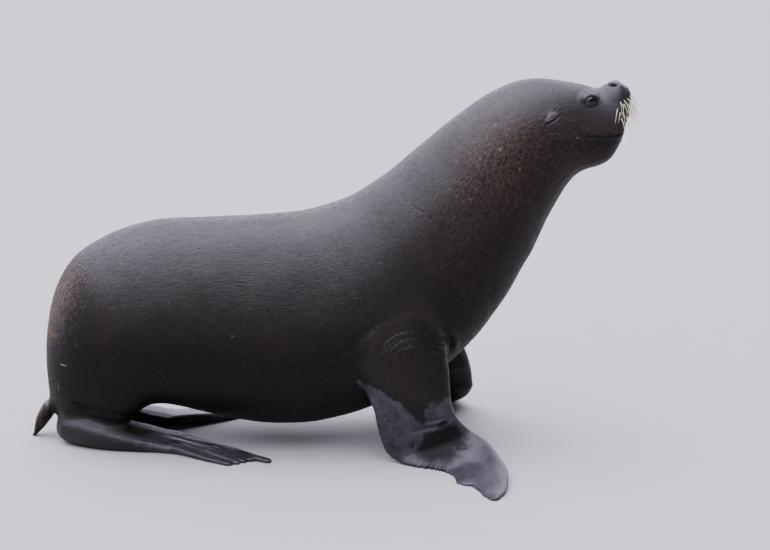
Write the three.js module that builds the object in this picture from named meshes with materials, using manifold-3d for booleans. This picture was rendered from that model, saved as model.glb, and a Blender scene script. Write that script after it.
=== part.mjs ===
// A life-size South American sea lion, a young male, sitting up on all four flippers and looking ahead with
// its snout raised. Millimetres, +Z up, +X towards the snout, +Y towards the animal's left.
// The origin is on the floor, under the middle of the animal's bounding box.
//
// The flesh is skin drawn over hoops. A hoop goes through two opposite points, `a` and `b`, and bulges `half`
// to each side of the line between them. On the body, `a` is on the back and `b` on the belly or throat. On a
// limb, `a` is on its leading edge and `b` on its trailing edge.
import * as THREE from "three";
import { mergeVertices } from "three/addons/utils/BufferGeometryUtils.js";
import Module from "manifold-3d";

const wasm = await Module();
wasm.setup();

// ---------------------------------------------------------------- driving dimensions
const GAP = 0.35; // between two pieces that touch
const SIDE_LEFT = 1; // sign of Y
const SIDE_RIGHT = -1;

const BODY_SIDES = 22; // facets round the body
const HEAD_SIDES = 22;
const LIMB_SIDES = 12;
const DIGIT_SIDES = 6;
const BALL_SIDES = 12;

const EYE = { x: 747, y: 63, z: 1042, radius: 19 };
const EAR = { base: [652, 105, 1018], tip: [611, 131, 991], width: 21, thickness: 9 };
const MOUTH = { front: [900, 950], middle: [822, 946], corner: [738, 942], throat: [690, 800] };
const NOSE = { centre: [842, 0, 1082], radii: [44, 38, 24], pitch: -0.35 };
const TAIL = { root: [-850, 0, 112], tip: [-914, 0, 9], rootHalf: 38, tipHalf: 17 };
const THIGH = { centre: [-660, 100, 152], radii: [100, 86, 84] };
const CLAW = { length: 24, width: 7, height: 5 };

const FLOOR_CUT = 400; // depth of the block that trims the feet level with the floor

// ---------------------------------------------------------------- hoops
// Along the body: `a` and `b` are [x, z]. `low` drops the widest place towards `b`, and `full` squares the section.
const BODY_HOOPS = {
  seat: { a: [-846, 62], b: [-662, 62], half: 84, low: 0, full: 2 },
  tailRoot: { a: [-872, 112], b: [-608, 92], half: 120, low: 0, full: 2.1 },
  haunch: { a: [-882, 207], b: [-566, 120], half: 158, low: 0.05, full: 2.1 },
  buttock: { a: [-878, 322], b: [-526, 117], half: 184, low: 0.08, full: 2.15 },
  rump: { a: [-853, 455], b: [-468, 110], half: 205, low: 0.1, full: 2.2 },
  hip: { a: [-792, 562], b: [-404, 92], half: 219, low: 0.12, full: 2.2 },
  sacrum: { a: [-676, 639], b: [-342, 76], half: 229, low: 0.14, full: 2.2 },
  loin: { a: [-545, 678], b: [-278, 60], half: 235, low: 0.15, full: 2.2 },
  midBack: { a: [-380, 690], b: [-205, 48], half: 239, low: 0.15, full: 2.2 },
  ribs: { a: [-200, 697], b: [-120, 46], half: 242, low: 0.15, full: 2.15 },
  saddle: { a: [-60, 716], b: [16, 66], half: 241, low: 0.16, full: 2.1 },
  withers: { a: [45, 752], b: [190, 132], half: 235, low: 0.14, full: 2.1 },
  shoulder: { a: [120, 799], b: [376, 256], half: 224, low: 0.1, full: 2.1 },
  breast: { a: [194, 856], b: [498, 410], half: 205, low: 0.06, full: 2.1 },
  neckBase: { a: [259, 915], b: [586, 563], half: 186, low: 0.04, full: 2.05 },
  neck: { a: [336, 978], b: [644, 694], half: 168, low: 0.02, full: 2.0 },
  nape: { a: [424, 1042], b: [688, 777], half: 151, low: 0, full: 2.0 },
  occiput: { a: [506, 1086], b: [732, 822], half: 135, low: 0, full: 2.0 },
  skull: { a: [585, 1102], b: [776, 842], half: 118, low: 0.05, full: 2.15 },
  brow: { a: [662, 1095], b: [811, 864], half: 102, low: 0.08, full: 2.35 },
  eyes: { a: [728, 1083], b: [839, 899], half: 84, low: 0.1, full: 2.55 },
  bridge: { a: [772, 1071], b: [854, 929], half: 68, low: 0.2, full: 2.4 },
  muzzle: { a: [802, 1084], b: [860, 958], half: 63, low: 0.12, full: 2.3 },
  noseTop: { a: [831, 1093], b: [868, 994], half: 54, low: 0.08, full: 2.3 },
  noseFront: { a: [855, 1078], b: [872, 1026], half: 36, low: 0, full: 2.3 },
};
const CUTS = { rump: "loin", abdomen: "saddle", chest: "neckBase", neck: "occiput" }; // each piece ends at this hoop

// Along a front limb, from the shoulder to the tip: `lead` and `trail` are [x, outwards, z].
// The right flipper is planted forwards and outwards.
const FORELIMB_RIGHT = [
  { lead: [296, 136, 470], trail: [110, 136, 470], half: 74 },
  { lead: [322, 180, 380], trail: [88, 178, 380], half: 70 },
  { lead: [342, 211, 304], trail: [50, 208, 296], half: 60 },
  { lead: [348, 232, 236], trail: [72, 231, 230], half: 49 },
  { lead: [351, 244, 186], trail: [98, 246, 174], half: 41 },
  { lead: [364, 252, 142], trail: [119, 254, 126], half: 34 },
  { lead: [388, 256, 120], trail: [129, 260, 84], half: 29 },
  { lead: [414, 262, 101], trail: [146, 262, 30], half: 25 },
  { lead: [439, 275, 86], trail: [176, 270, 6], half: 22 },
  { lead: [464, 300, 69], trail: [222, 306, 2], half: 19 },
  { lead: [481, 335, 54], trail: [272, 324, 2], half: 16.5 },
  { lead: [495, 370, 43], trail: [316, 346, 2], half: 14.5 },
  { lead: [505, 405, 34], trail: [345, 394, 2], half: 12.5 },
  { lead: [509, 445, 26], trail: [358, 466, 2], half: 11 },
  { lead: [507, 482, 19], trail: [386, 474, 2], half: 9.5 },
  { lead: [502, 520, 14], trail: [408, 510, 2], half: 8.5 },
  { lead: [493, 554, 9], trail: [421, 560, 3], half: 7.5 },
  { lead: [478, 580, 7], trail: [438, 588, 4], half: 6.5 },
];
// The left one stands a little further forwards and is turned outwards and back.
const FORELIMB_LEFT = [
  { lead: [300, 136, 470], trail: [110, 136, 470], half: 74 },
  { lead: [334, 182, 385], trail: [90, 178, 380], half: 70 },
  { lead: [368, 216, 305], trail: [80, 208, 298], half: 60 },
  { lead: [402, 240, 226], trail: [112, 234, 222], half: 49 },
  { lead: [426, 254, 160], trail: [150, 248, 150], half: 41 },
  { lead: [436, 266, 108], trail: [186, 258, 90], half: 34 },
  { lead: [430, 282, 66], trail: [206, 274, 36], half: 28 },
  { lead: [412, 314, 38], trail: [206, 302, 10], half: 24 },
  { lead: [394, 356, 27], trail: [198, 340, 6], half: 20 },
  { lead: [376, 404, 22], trail: [190, 380, 6], half: 17 },
  { lead: [358, 450, 19], trail: [186, 424, 6], half: 14.5 },
  { lead: [338, 494, 16], trail: [184, 470, 6], half: 12 },
  { lead: [316, 532, 13], trail: [200, 504, 6], half: 10 },
  { lead: [291, 562, 10], trail: [204, 540, 6], half: 8.5 },
  { lead: [267, 591, 8], trail: [212, 577, 6], half: 7.5 },
];
const WRIST = { right: [-0.15, 0, -1, 118], left: [-0.1, 0.25, -1, 100] }; // the cut's normal, and its height

// Along a hind limb, from the heel towards the toes: [x, outwards, z], with `lead` on the inner edge.
const HIND_LIMB = [
  { lead: [-806, 24, 54], trail: [-806, 122, 42], half: 44 },
  { lead: [-735, 24, 56], trail: [-732, 160, 38], half: 50 },
  { lead: [-645, 26, 47], trail: [-645, 178, 27], half: 40 },
  { lead: [-570, 34, 37], trail: [-565, 182, 18], half: 28 },
  { lead: [-500, 50, 26], trail: [-490, 190, 12], half: 18 },
  { lead: [-430, 86, 16], trail: [-410, 228, 8], half: 11 },
  { lead: [-365, 122, 11], trail: [-350, 256, 7], half: 7.5 },
  { lead: [-310, 160, 8], trail: [-310, 258, 6], half: 6 },
];
const ANKLE_X = -585; // the hind flipper is the part in front of this
// Toes: where each one leaves the foot and where its flap ends, from the inner toe to the outer one.
const TOES = [
  { root: [-505, 72, 29], tip: [-197, 260, 7], half: 22, thick: 14 },
  { root: [-500, 96, 29], tip: [-252, 250, 7], half: 15, thick: 13 },
  { root: [-495, 118, 27], tip: [-272, 262, 7], half: 15, thick: 12 },
  { root: [-490, 142, 25], tip: [-290, 276, 6], half: 15, thick: 12 },
  { root: [-500, 162, 19], tip: [-312, 285, 6], half: 20, thick: 12 },
];
const NAILED_TOES = [1, 2, 3]; // the three middle toes carry the nails
const NAIL_PLACE = 0.56; // share of the toe's length, because the flap runs on past the nail

// ---------------------------------------------------------------- solids
const vector = (p) => new THREE.Vector3(...p);
const mix = THREE.MathUtils.lerp;

function solidOf(geometry) {
  const bare = geometry.clone();
  bare.deleteAttribute("normal");
  bare.deleteAttribute("uv");
  const merged = mergeVertices(bare, 1e-3);
  return new wasm.Manifold(
    new wasm.Mesh({
      numProp: 3,
      vertProperties: new Float32Array(merged.attributes.position.array),
      triVerts: new Uint32Array(merged.index.array),
    }),
  );
}

// A smooth run of numbers through the hoops' values, at `t` from 0 to 1.
function along(values, t) {
  const curve = new THREE.CatmullRomCurve3(values.map((v) => new THREE.Vector3(v, 0, 0)), false, "catmullrom", 0.5);
  return curve.getPoint(t).x;
}

// Closed skin over hoops. Each hoop is { a, b, half, low, full, thin }, and the ends are rounded off over
// `startCap` and `endCap`. `thin` makes the section thinner towards `b`, as a flipper's is. `grow` widens all.
function skinOver(hoops, { rings, sides, startCap, endCap, capRings = 4, grow = 0 }) {
  const curveA = new THREE.CatmullRomCurve3(hoops.map((h) => h.a), false, "catmullrom", 0.5);
  const curveB = new THREE.CatmullRomCurve3(hoops.map((h) => h.b), false, "catmullrom", 0.5);
  const number = (key, t) => along(hoops.map((h) => h[key] ?? 0), t);
  const centreAt = (t) => curveA.getPoint(t).add(curveB.getPoint(t)).multiplyScalar(0.5);

  function ring(t, scale, shift) {
    const a = curveA.getPoint(t);
    const b = curveB.getPoint(t);
    const step = 0.004;
    const tangent = centreAt(Math.min(1, t + step)).sub(centreAt(Math.max(0, t - step))).normalize();
    const up = a.clone().sub(b);
    const height = up.length() / 2 + grow;
    up.normalize();
    const side = new THREE.Vector3().crossVectors(up, tangent).normalize();
    const half = number("half", t) + grow;
    const low = number("low", t);
    const power = 2 / (number("full", t) || 2);
    const thin = number("thin", t);
    const centre = centreAt(t).addScaledVector(tangent, shift);
    const points = [];
    for (let i = 0; i < sides; i++) {
      const angle = (i / sides) * Math.PI * 2;
      const c = Math.sign(Math.cos(angle)) * Math.abs(Math.cos(angle)) ** power;
      const s = Math.sign(Math.sin(angle)) * Math.abs(Math.sin(angle)) ** power;
      const rise = (c - low * s * s) * height * scale;
      const out = s * (1 + thin * c) * half * scale;
      points.push(centre.clone().addScaledVector(up, rise).addScaledVector(side, out));
    }
    return { points, centre };
  }

  const all = [];
  for (let k = capRings; k > 0; k--) {
    const angle = (k / capRings) * (Math.PI / 2);
    all.push(ring(0, Math.cos(angle), -startCap * Math.sin(angle)));
  }
  for (let k = 0; k <= rings; k++) all.push(ring(k / rings, 1, 0));
  for (let k = 1; k <= capRings; k++) {
    const angle = (k / capRings) * (Math.PI / 2);
    all.push(ring(1, Math.cos(angle), endCap * Math.sin(angle)));
  }
  const inner = all.slice(1, -1); // the first and last rings are single points
  const vertices = inner.flatMap((r) => r.points);
  const first = vertices.push(all[0].centre) - 1;
  const last = vertices.push(all[all.length - 1].centre) - 1;
  const faces = [];
  for (let j = 0; j < sides; j++) {
    const next = (j + 1) % sides;
    faces.push(first, j, next);
    for (let k = 0; k < inner.length - 1; k++) {
      const here = k * sides;
      const there = here + sides;
      faces.push(here + j, there + j, there + next, here + j, there + next, here + next);
    }
    const end = (inner.length - 1) * sides;
    faces.push(last, end + next, end + j);
  }
  const geometry = new THREE.BufferGeometry().setFromPoints(vertices).setIndex(faces);
  const made = solidOf(geometry);
  if (made.volume() > 0) return made;
  for (let i = 0; i < faces.length; i += 3) [faces[i + 1], faces[i + 2]] = [faces[i + 2], faces[i + 1]];
  return solidOf(geometry.setIndex(faces));
}

function ellipsoid([x, y, z], [rx, ry, rz], pitch = 0) {
  const ball = new THREE.SphereGeometry(1, BALL_SIDES, Math.round(BALL_SIDES * 0.6));
  ball.scale(rx, ry, rz);
  ball.rotateY(pitch);
  ball.translate(x, y, z);
  return solidOf(ball);
}

// Everything on the side of a plane that `normal` points to, as a large block.
function beyond(point, normal) {
  const size = 6000;
  const block = new THREE.BoxGeometry(size, size, size);
  block.translate(0, 0, size / 2);
  const turn = new THREE.Quaternion().setFromUnitVectors(new THREE.Vector3(0, 0, 1), normal.clone().normalize());
  block.applyQuaternion(turn);
  block.translate(point.x, point.y, point.z);
  return solidOf(block);
}

// Parts a solid in two at a plane, and leaves the gap between them: [the far side, the near side].
function part(solid, point, normal) {
  const n = normal.clone().normalize();
  const far = solid.intersect(beyond(point.clone().addScaledVector(n, GAP / 2), n));
  const near = solid.subtract(beyond(point.clone().addScaledVector(n, -GAP / 2), n));
  return [far, near];
}

// A block across the whole animal whose side view is the outline of [x, z] corners.
function acrossBlock(corners, width) {
  const outline = new THREE.Shape(corners.map(([x, z]) => new THREE.Vector2(x, z)));
  const block = new THREE.ExtrudeGeometry(outline, { depth: width, bevelEnabled: false });
  block.translate(0, 0, -width / 2);
  block.rotateX(Math.PI / 2);
  return solidOf(block);
}

const belowFloor = (() => {
  const block = new THREE.BoxGeometry(4000, 4000, FLOOR_CUT);
  block.translate(0, 0, -FLOOR_CUT / 2);
  return solidOf(block);
})();

// ---------------------------------------------------------------- body and head
const flat = ([x, z]) => new THREE.Vector3(x, 0, z);
const hoopList = Object.values(BODY_HOOPS).map((h) => ({ ...h, a: flat(h.a), b: flat(h.b) }));

const place = (hoopName) => Object.keys(BODY_HOOPS).indexOf(hoopName);

function trunkSkin(grow) {
  const hoops = hoopList.slice(0, place("nape"));
  return skinOver(hoops, { rings: 2 * (hoops.length - 1), sides: BODY_SIDES, startCap: 26, endCap: 40, capRings: 3, grow });
}

function headSkin(grow) {
  const hoops = hoopList.slice(place("breast"));
  return skinOver(hoops, { rings: 2 * (hoops.length - 1), sides: HEAD_SIDES, startCap: 40, endCap: 12, capRings: 3, grow });
}

// The swellings of the face: whisker pads and the ridges over the eyes on both sides, and the chin.
function faceForms(grow) {
  const forms = [];
  for (const side of [SIDE_LEFT, SIDE_RIGHT]) {
    forms.push(ellipsoid([834, side * 38, 1004], [37 + grow, 32 + grow, 42 + grow], 0.1));
    forms.push(ellipsoid([738, side * 47, 1051], [36 + grow, 25 + grow, 24 + grow], 0.1));
  }
  forms.push(ellipsoid([818, 0, 927], [40 + grow, 42 + grow, 33 + grow], -0.2));
  return forms.reduce((all, form) => all.add(form));
}

const eyeCentre = (side) => [EYE.x, side * EYE.y, EYE.z];

// The outer ear: a small rolled cone that points back and down.
function ear(side) {
  const base = vector(EAR.base);
  const tip = vector(EAR.tip);
  const across = new THREE.Vector3(0.35, 0.1, -0.93).multiplyScalar(EAR.width / 2);
  const hoops = [1.15, 1, 0.62].map((size, i) => {
    const middle = base.clone().lerp(tip, i * 0.42);
    const a = middle.clone().addScaledVector(across, size);
    const b = middle.clone().addScaledVector(across, -size);
    for (const p of [a, b]) p.y *= side;
    return { a, b, half: (EAR.thickness / 2) * size };
  });
  return skinOver(hoops, { rings: 3, sides: 8, startCap: 10, endCap: 8, capRings: 2 });
}

// The thighs fill the flanks out over the heels.
function thighs(grow) {
  const one = (side) => ellipsoid(THIGH.centre.map((v, i) => (i === 1 ? side * v : v)), THIGH.radii.map((r) => r + grow), 0.2);
  return one(SIDE_LEFT).add(one(SIDE_RIGHT));
}

function tail(grow) {
  const hoops = [0, 0.35, 0.7, 1].map((t) => {
    const x = mix(TAIL.root[0], TAIL.tip[0], t ** 0.8);
    const z = mix(TAIL.root[2], TAIL.tip[2], t);
    const half = mix(TAIL.rootHalf, TAIL.tipHalf, t);
    const deep = half * 0.8;
    return { a: new THREE.Vector3(x - deep, 0, z - deep * 0.3), b: new THREE.Vector3(x + deep, 0, z + deep * 0.3), half };
  });
  return skinOver(hoops, { rings: 5, sides: 8, startCap: 10, endCap: 12, capRings: 2, grow });
}

// ---------------------------------------------------------------- limbs
const sided = ([x, out, z], side) => new THREE.Vector3(x, side * out, z);

function forelimb(table, side) {
  const hoops = table.map((h, i) => ({
    a: sided(h.lead, side),
    b: sided(h.trail, side),
    half: h.half,
    full: 2,
    thin: mix(0.1, 0.45, i / (table.length - 1)),
  }));
  return skinOver(hoops, { rings: 20, sides: LIMB_SIDES, startCap: 30, endCap: 22, capRings: 2 });
}

function toe({ root, tip, half, thick }, side) {
  const start = sided(root, side);
  const end = sided(tip, side);
  const across = new THREE.Vector3().subVectors(end, start).cross(new THREE.Vector3(0, 0, 1)).normalize();
  const hoops = [0, 0.35, 0.7, 1].map((t) => {
    const middle = start.clone().lerp(end, t);
    const wide = half * mix(0.85, 1, t) * (t === 1 ? 0.72 : 1);
    return {
      a: middle.clone().addScaledVector(across, wide),
      b: middle.clone().addScaledVector(across, -wide),
      half: mix(thick, 5.5, t ** 0.8),
    };
  });
  return skinOver(hoops, { rings: 3, sides: DIGIT_SIDES, startCap: 8, endCap: 16, capRings: 2 });
}

function hindlimb(side) {
  const hoops = HIND_LIMB.map((h) => ({ a: sided(h.lead, side), b: sided(h.trail, side), half: h.half, full: 2.2 }));
  const foot = skinOver(hoops, { rings: 10, sides: LIMB_SIDES, startCap: 42, endCap: 18, capRings: 3 });
  return TOES.reduce((all, t) => all.add(toe(t, side)), foot);
}

// A nail lies on top of its toe, rooted in the skin and pointing to the toe's end.
function claw(index, side) {
  const { root, tip, thick } = TOES[index];
  const start = sided(root, side).lerp(sided(tip, side), NAIL_PLACE);
  const ahead = sided(tip, side).sub(start).setZ(0).normalize();
  const rise = mix(thick, 5.5, NAIL_PLACE ** 0.8) - 1;
  const across = new THREE.Vector3(-ahead.y, ahead.x, 0);
  const hoops = [0, 0.5, 1].map((t) => {
    const middle = start.clone().addScaledVector(ahead, t * CLAW.length);
    middle.z += rise - t * 2;
    const wide = (CLAW.width / 2) * mix(1, 0.5, t);
    return {
      a: middle.clone().addScaledVector(across, wide),
      b: middle.clone().addScaledVector(across, -wide),
      half: (CLAW.height / 2) * mix(1, 0.5, t),
    };
  });
  return skinOver(hoops, { rings: 1, sides: 6, startCap: 2, endCap: 3, capRings: 2 });
}

// ---------------------------------------------------------------- parting the animal into its pieces
const pieces = {};

function cutAt(solid, hoopName) {
  const { a, b } = BODY_HOOPS[hoopName];
  const line = flat(a).sub(flat(b));
  const forwards = new THREE.Vector3(line.z, 0, -line.x);
  return part(solid, flat(b), forwards);
}

const tailGrown = tail(GAP);
const trunkGrown = trunkSkin(GAP).add(thighs(GAP));
let rest = trunkSkin(0).add(thighs(0));
[rest, pieces.rump] = cutAt(rest, CUTS.rump);
[rest, pieces.abdomen] = cutAt(rest, CUTS.abdomen);
pieces.chest = cutAt(rest, CUTS.chest)[1];
let head = cutAt(headSkin(0).add(faceForms(0)), CUTS.chest)[0];
[head, pieces.neck] = cutAt(head, CUTS.neck);
pieces.tail = tail(0).subtract(trunkGrown).subtract(belowFloor);
pieces.rump = pieces.rump.subtract(tailGrown);

for (const [name, side] of [["left", SIDE_LEFT], ["right", SIDE_RIGHT]]) {
  head = head.subtract(ellipsoid(eyeCentre(side), Array(3).fill(EYE.radius + GAP)));
  pieces["eye_" + name] = ellipsoid(eyeCentre(side), Array(3).fill(EYE.radius));
}
const jawBlock = (inset) => {
  const { front, middle, corner, throat } = MOUTH;
  return acrossBlock(
    [[front[0], front[1] - inset], [middle[0], middle[1] - inset], [corner[0] + inset, corner[1] - inset],
      [throat[0] + inset, throat[1]], [front[0], throat[1]]], 400);
};
pieces.lower_jaw = head.intersect(jawBlock(GAP));
head = head.subtract(jawBlock(0));
pieces.nose = head.intersect(ellipsoid(NOSE.centre, NOSE.radii, NOSE.pitch));
head = head.subtract(ellipsoid(NOSE.centre, NOSE.radii.map((r) => r + GAP), NOSE.pitch));
const headGrown = headSkin(GAP).add(faceForms(GAP));
for (const [name, side] of [["left", SIDE_LEFT], ["right", SIDE_RIGHT]]) {
  pieces["ear_" + name] = ear(side).subtract(headGrown);
}
pieces.head = head;

for (const [name, side, table] of [["left", SIDE_LEFT, FORELIMB_LEFT], ["right", SIDE_RIGHT, FORELIMB_RIGHT]]) {
  const limb = forelimb(table, side).subtract(trunkGrown).subtract(belowFloor);
  const [nx, ny, nz, height] = WRIST[name];
  const wrist = new THREE.Vector3(240, side * 255, height);
  [pieces["fore_flipper_" + name], pieces["foreleg_" + name]] = part(limb, wrist, new THREE.Vector3(nx, side * ny, nz));

  const hind = hindlimb(side).subtract(trunkGrown).subtract(tailGrown).subtract(belowFloor);
  const ankle = new THREE.Vector3(ANKLE_X, 0, 0);
  const [flipper, leg] = part(hind, ankle, new THREE.Vector3(1, 0, 0));
  pieces["hind_leg_" + name] = leg;
  let bed = flipper;
  for (const index of NAILED_TOES) {
    const nail = claw(index, side);
    bed = bed.subtract(nail);
    pieces[`claw_${index + 1}_${name}`] = claw(index, side);
  }
  pieces["hind_flipper_" + name] = bed;
}

// ---------------------------------------------------------------- the group of named meshes
const MATERIALS = {
  coat: { color: 0x3a3134, roughness: 0.5, metalness: 0 },
  flipper: { color: 0x45434b, roughness: 0.45, metalness: 0 },
  nose: { color: 0x1d1a1b, roughness: 0.4, metalness: 0 },
  eye: { color: 0x0c0a0a, roughness: 0.08, metalness: 0 },
  claw: { color: 0x3a2f29, roughness: 0.4, metalness: 0 },
};

function finishOf(name) {
  if (name.startsWith("eye")) return MATERIALS.eye;
  if (name.startsWith("claw")) return MATERIALS.claw;
  if (name === "nose") return MATERIALS.nose;
  if (name.includes("flipper")) return MATERIALS.flipper;
  return MATERIALS.coat;
}

// Of a piece that the cuts leave in several bits, only the largest is the piece.
function largest(solid) {
  return solid.decompose().reduce((best, s) => (s.volume() > best.volume() ? s : best));
}

const animal = new THREE.Group();
for (const [name, solid] of Object.entries(pieces)) {
  const { numProp, numVert, vertProperties, triVerts } = largest(solid).getMesh();
  const positions = new Float32Array(numVert * 3);
  for (let i = 0; i < numVert; i++) positions.set(vertProperties.subarray(i * numProp, i * numProp + 3), i * 3);
  const geometry = new THREE.BufferGeometry()
    .setAttribute("position", new THREE.BufferAttribute(positions, 3))
    .setIndex(new THREE.BufferAttribute(triVerts, 1));
  geometry.computeVertexNormals();
  const mesh = new THREE.Mesh(geometry, new THREE.MeshStandardMaterial(finishOf(name)));
  mesh.name = name;
  animal.add(mesh);
}

const middle = new THREE.Box3().setFromObject(animal).getCenter(new THREE.Vector3());
animal.position.set(-middle.x, -middle.y, 0);

export default animal;
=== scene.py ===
# %% [markdown]
# # A young male sea lion, sitting up on its fore flippers
# A wet sea lion looks like one dark, polished form, but it has four surfaces: short fur pressed
# flat by water, bare rubbery skin on the flippers, a leathery nose, and the folds where the limbs
# leave the body. The solids of the body are already in the frame, in metres, with Z up. Here one
# skin is drawn over them, and the eyes, whiskers, nails and coat are set into that skin.
# Landmarks are given in the drawing's millimetres: X runs forward to the muzzle, Y to the
# animal's left and Z up. One eye, whose centre is known in both, ties the drawing to the frame.

import math

import bmesh
import bpy
import numpy as np
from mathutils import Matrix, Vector
from mathutils.bvhtree import BVHTree


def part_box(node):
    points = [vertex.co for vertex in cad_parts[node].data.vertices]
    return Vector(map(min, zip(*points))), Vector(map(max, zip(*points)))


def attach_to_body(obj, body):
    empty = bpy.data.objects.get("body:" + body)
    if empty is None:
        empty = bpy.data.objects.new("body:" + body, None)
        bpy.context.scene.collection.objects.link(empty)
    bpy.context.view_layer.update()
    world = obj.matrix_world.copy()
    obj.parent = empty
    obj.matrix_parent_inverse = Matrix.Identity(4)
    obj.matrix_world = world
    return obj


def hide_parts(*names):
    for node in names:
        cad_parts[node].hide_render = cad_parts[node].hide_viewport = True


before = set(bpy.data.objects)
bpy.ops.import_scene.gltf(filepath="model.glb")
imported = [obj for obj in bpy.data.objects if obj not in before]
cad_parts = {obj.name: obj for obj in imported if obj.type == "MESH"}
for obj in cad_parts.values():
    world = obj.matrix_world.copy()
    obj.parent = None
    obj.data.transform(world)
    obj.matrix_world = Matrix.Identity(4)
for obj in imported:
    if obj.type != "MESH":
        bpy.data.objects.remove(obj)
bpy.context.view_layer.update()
EYE = np.array((747.0, 63.0, 1042.0))  # the left eye's centre in the drawing
EYE_RADIUS = 19.0
MM = 1000.0  # millimetres in a metre

eye_low, eye_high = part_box("eye_left")
ORIGIN = (np.array(eye_low) + np.array(eye_high)) / 2 - EYE / MM


def metres(place):
    """Points of the drawing, in millimetres, as metres in the frame."""
    return ORIGIN + np.asarray(place, float) / MM


def drawn(points):
    """Points of the frame, in metres, as the drawing's millimetres."""
    return (np.asarray(points, float) - ORIGIN) * MM


print("the drawing's zero lies at", np.round(ORIGIN, 4), "in the frame")

# %% [markdown]
# ## One skin for all the flesh
# The body's solids meet face to face, so a skin taken from each would show every joint. They
# could be joined with booleans, but coincident faces make those unreliable. A voxel remesh reads
# all of them as one volume instead: each solid is swollen by a millimetre, so that neighbours
# overlap, and the volume's outside is wrapped in a new even grid. The grid is fine enough to keep
# the flippers' edges, which are about 8 mm thick.

# %% One closed skin around the solids
VOXEL = 0.0035
SWELL = 0.001
PARTS = sorted(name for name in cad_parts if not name.startswith(("eye", "claw")))


def swollen(names, swell):
    """One mesh of those solids, each closed and pushed out along its normals."""
    together = bmesh.new()
    for name in names:
        solid = bmesh.new()
        solid.from_mesh(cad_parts[name].data)
        bmesh.ops.remove_doubles(solid, verts=solid.verts, dist=1e-6)
        solid.normal_update()
        for vert in solid.verts:
            vert.co += vert.normal * swell
        copy = bpy.data.meshes.new(name + ".copy")
        solid.to_mesh(copy)
        solid.free()
        together.from_mesh(copy)
        bpy.data.meshes.remove(copy)
    mesh = bpy.data.meshes.new("flesh")
    together.to_mesh(mesh)
    together.free()
    return mesh


def placed(name, data):
    """An object made of that data, in the scene."""
    ob = bpy.data.objects.new(name, data)
    bpy.context.scene.collection.objects.link(ob)
    return ob


def applied(ob):
    """The object's mesh with its modifiers applied, which are then removed."""
    graph = bpy.context.evaluated_depsgraph_get()
    mesh = bpy.data.meshes.new_from_object(ob.evaluated_get(graph))
    ob.modifiers.clear()
    ob.data = mesh
    return mesh


def modify(ob, kind, **settings):
    """Adds a modifier with its settings."""
    modifier = ob.modifiers.new(kind.lower(), kind)
    for name, value in settings.items():
        setattr(modifier, name, value)


skin = placed("skin", swollen(PARTS, SWELL))
modify(skin, "REMESH", mode="VOXEL", voxel_size=VOXEL)
applied(skin)
print("skin grid:", len(skin.data.vertices), "points")

# %% [markdown]
# ## Which solid lies under each point
# Soft blubber is smooth over a hand's breadth, and a nostril is sharp within a few millimetres,
# so each part of the body needs its own amount of smoothing. The nearest solid says where on
# the body a point is. A BVH tree, which sorts faces into boxes, finds it quickly.

# %% The solid under each point
corners = []
facets = []
owner = []
for number, name in enumerate(PARTS):
    start = len(corners)
    corners.extend(vert.co.copy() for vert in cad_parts[name].data.vertices)
    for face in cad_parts[name].data.polygons:
        facets.append([start + index for index in face.vertices])
        owner.append(number)
flesh_tree = BVHTree.FromPolygons(corners, facets)


def coordinates(mesh):
    """A mesh's points as an array of metres."""
    flat = np.empty(len(mesh.vertices) * 3, np.float32)
    mesh.vertices.foreach_get("co", flat)
    return flat.reshape(-1, 3).astype(float)


def parts_under(points):
    """For each point, in metres, the number of the nearest solid."""
    return np.array([owner[flesh_tree.find_nearest(point)[2]] for point in points.tolist()])


def per_part(values, other):
    """One value for each solid: the first entry whose word its name starts with, or other."""
    found = []
    for name in PARTS:
        match = [value for word, value in values.items() if name.startswith(word)]
        found.append(match[0] if match else other)
    return np.array(found)


def belonging(words, numbers):
    """1 for each number of a solid whose name starts with one of the words, and 0 for others."""
    return per_part(dict.fromkeys(words, 1), 0)[numbers]


grid_part = parts_under(coordinates(skin.data))
print("points by solid:", dict(zip(PARTS, np.bincount(grid_part).tolist())))

# %% [markdown]
# ## Smoothing the facets away
# The solids have flat facets up to 90 mm long. The Smooth modifier moves each point towards the
# middle of its neighbours, and many rounds act like a blur whose width grows with the square
# root of the rounds. Its vertex group holds the share for each part: the trunk is blurred over
# about 40 mm, the head over 10 mm and the flippers' thin blades over 3 mm. A blur also draws a
# round form in, so the shares are blurred first and fall off slowly along the neck, or there
# would be a step where two parts meet.

# %% Smoothing by vertex group
ROUNDS = 600
SHARE = {
    "head": 0.05,
    "lower_jaw": 0.05,
    "nose": 0.02,
    "ear": 0.008,
    "tail": 0.004,
    "foreleg": 0.22,
    "fore_flipper": 0.035,
    "hind_leg": 0.06,
    "hind_flipper": 0.01,
}
NECK_X = (330, 450, 560, 700)  # from the chest to the cheeks, in the drawing's millimetres
NECK_ZERO = 25.45  # where the drawing's X begins in the frame, to a hundredth of a millimetre
NECK_SHARE = (1.0, 0.6, 0.25, 0.05)
SHARE_BLUR = 30  # rounds
LEVELS = 1600  # steps of a weight, as each step is one call


def edges_of(mesh):
    """A mesh's edges as pairs of point numbers."""
    flat = np.empty(len(mesh.edges) * 2, np.int32)
    mesh.edges.foreach_get("vertices", flat)
    return flat.reshape(-1, 2)


def blurred(values, edges, rounds):
    """Values of the points, each averaged with its neighbours' for that many rounds."""
    ends = np.concatenate([edges[:, 0], edges[:, 1]])
    others = np.concatenate([edges[:, 1], edges[:, 0]])
    count = np.maximum(np.bincount(ends, minlength=len(values)), 1)
    for _ in range(rounds):
        mean = np.bincount(ends, values[others], len(values)) / count
        values = (values + mean) / 2
    return values


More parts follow.
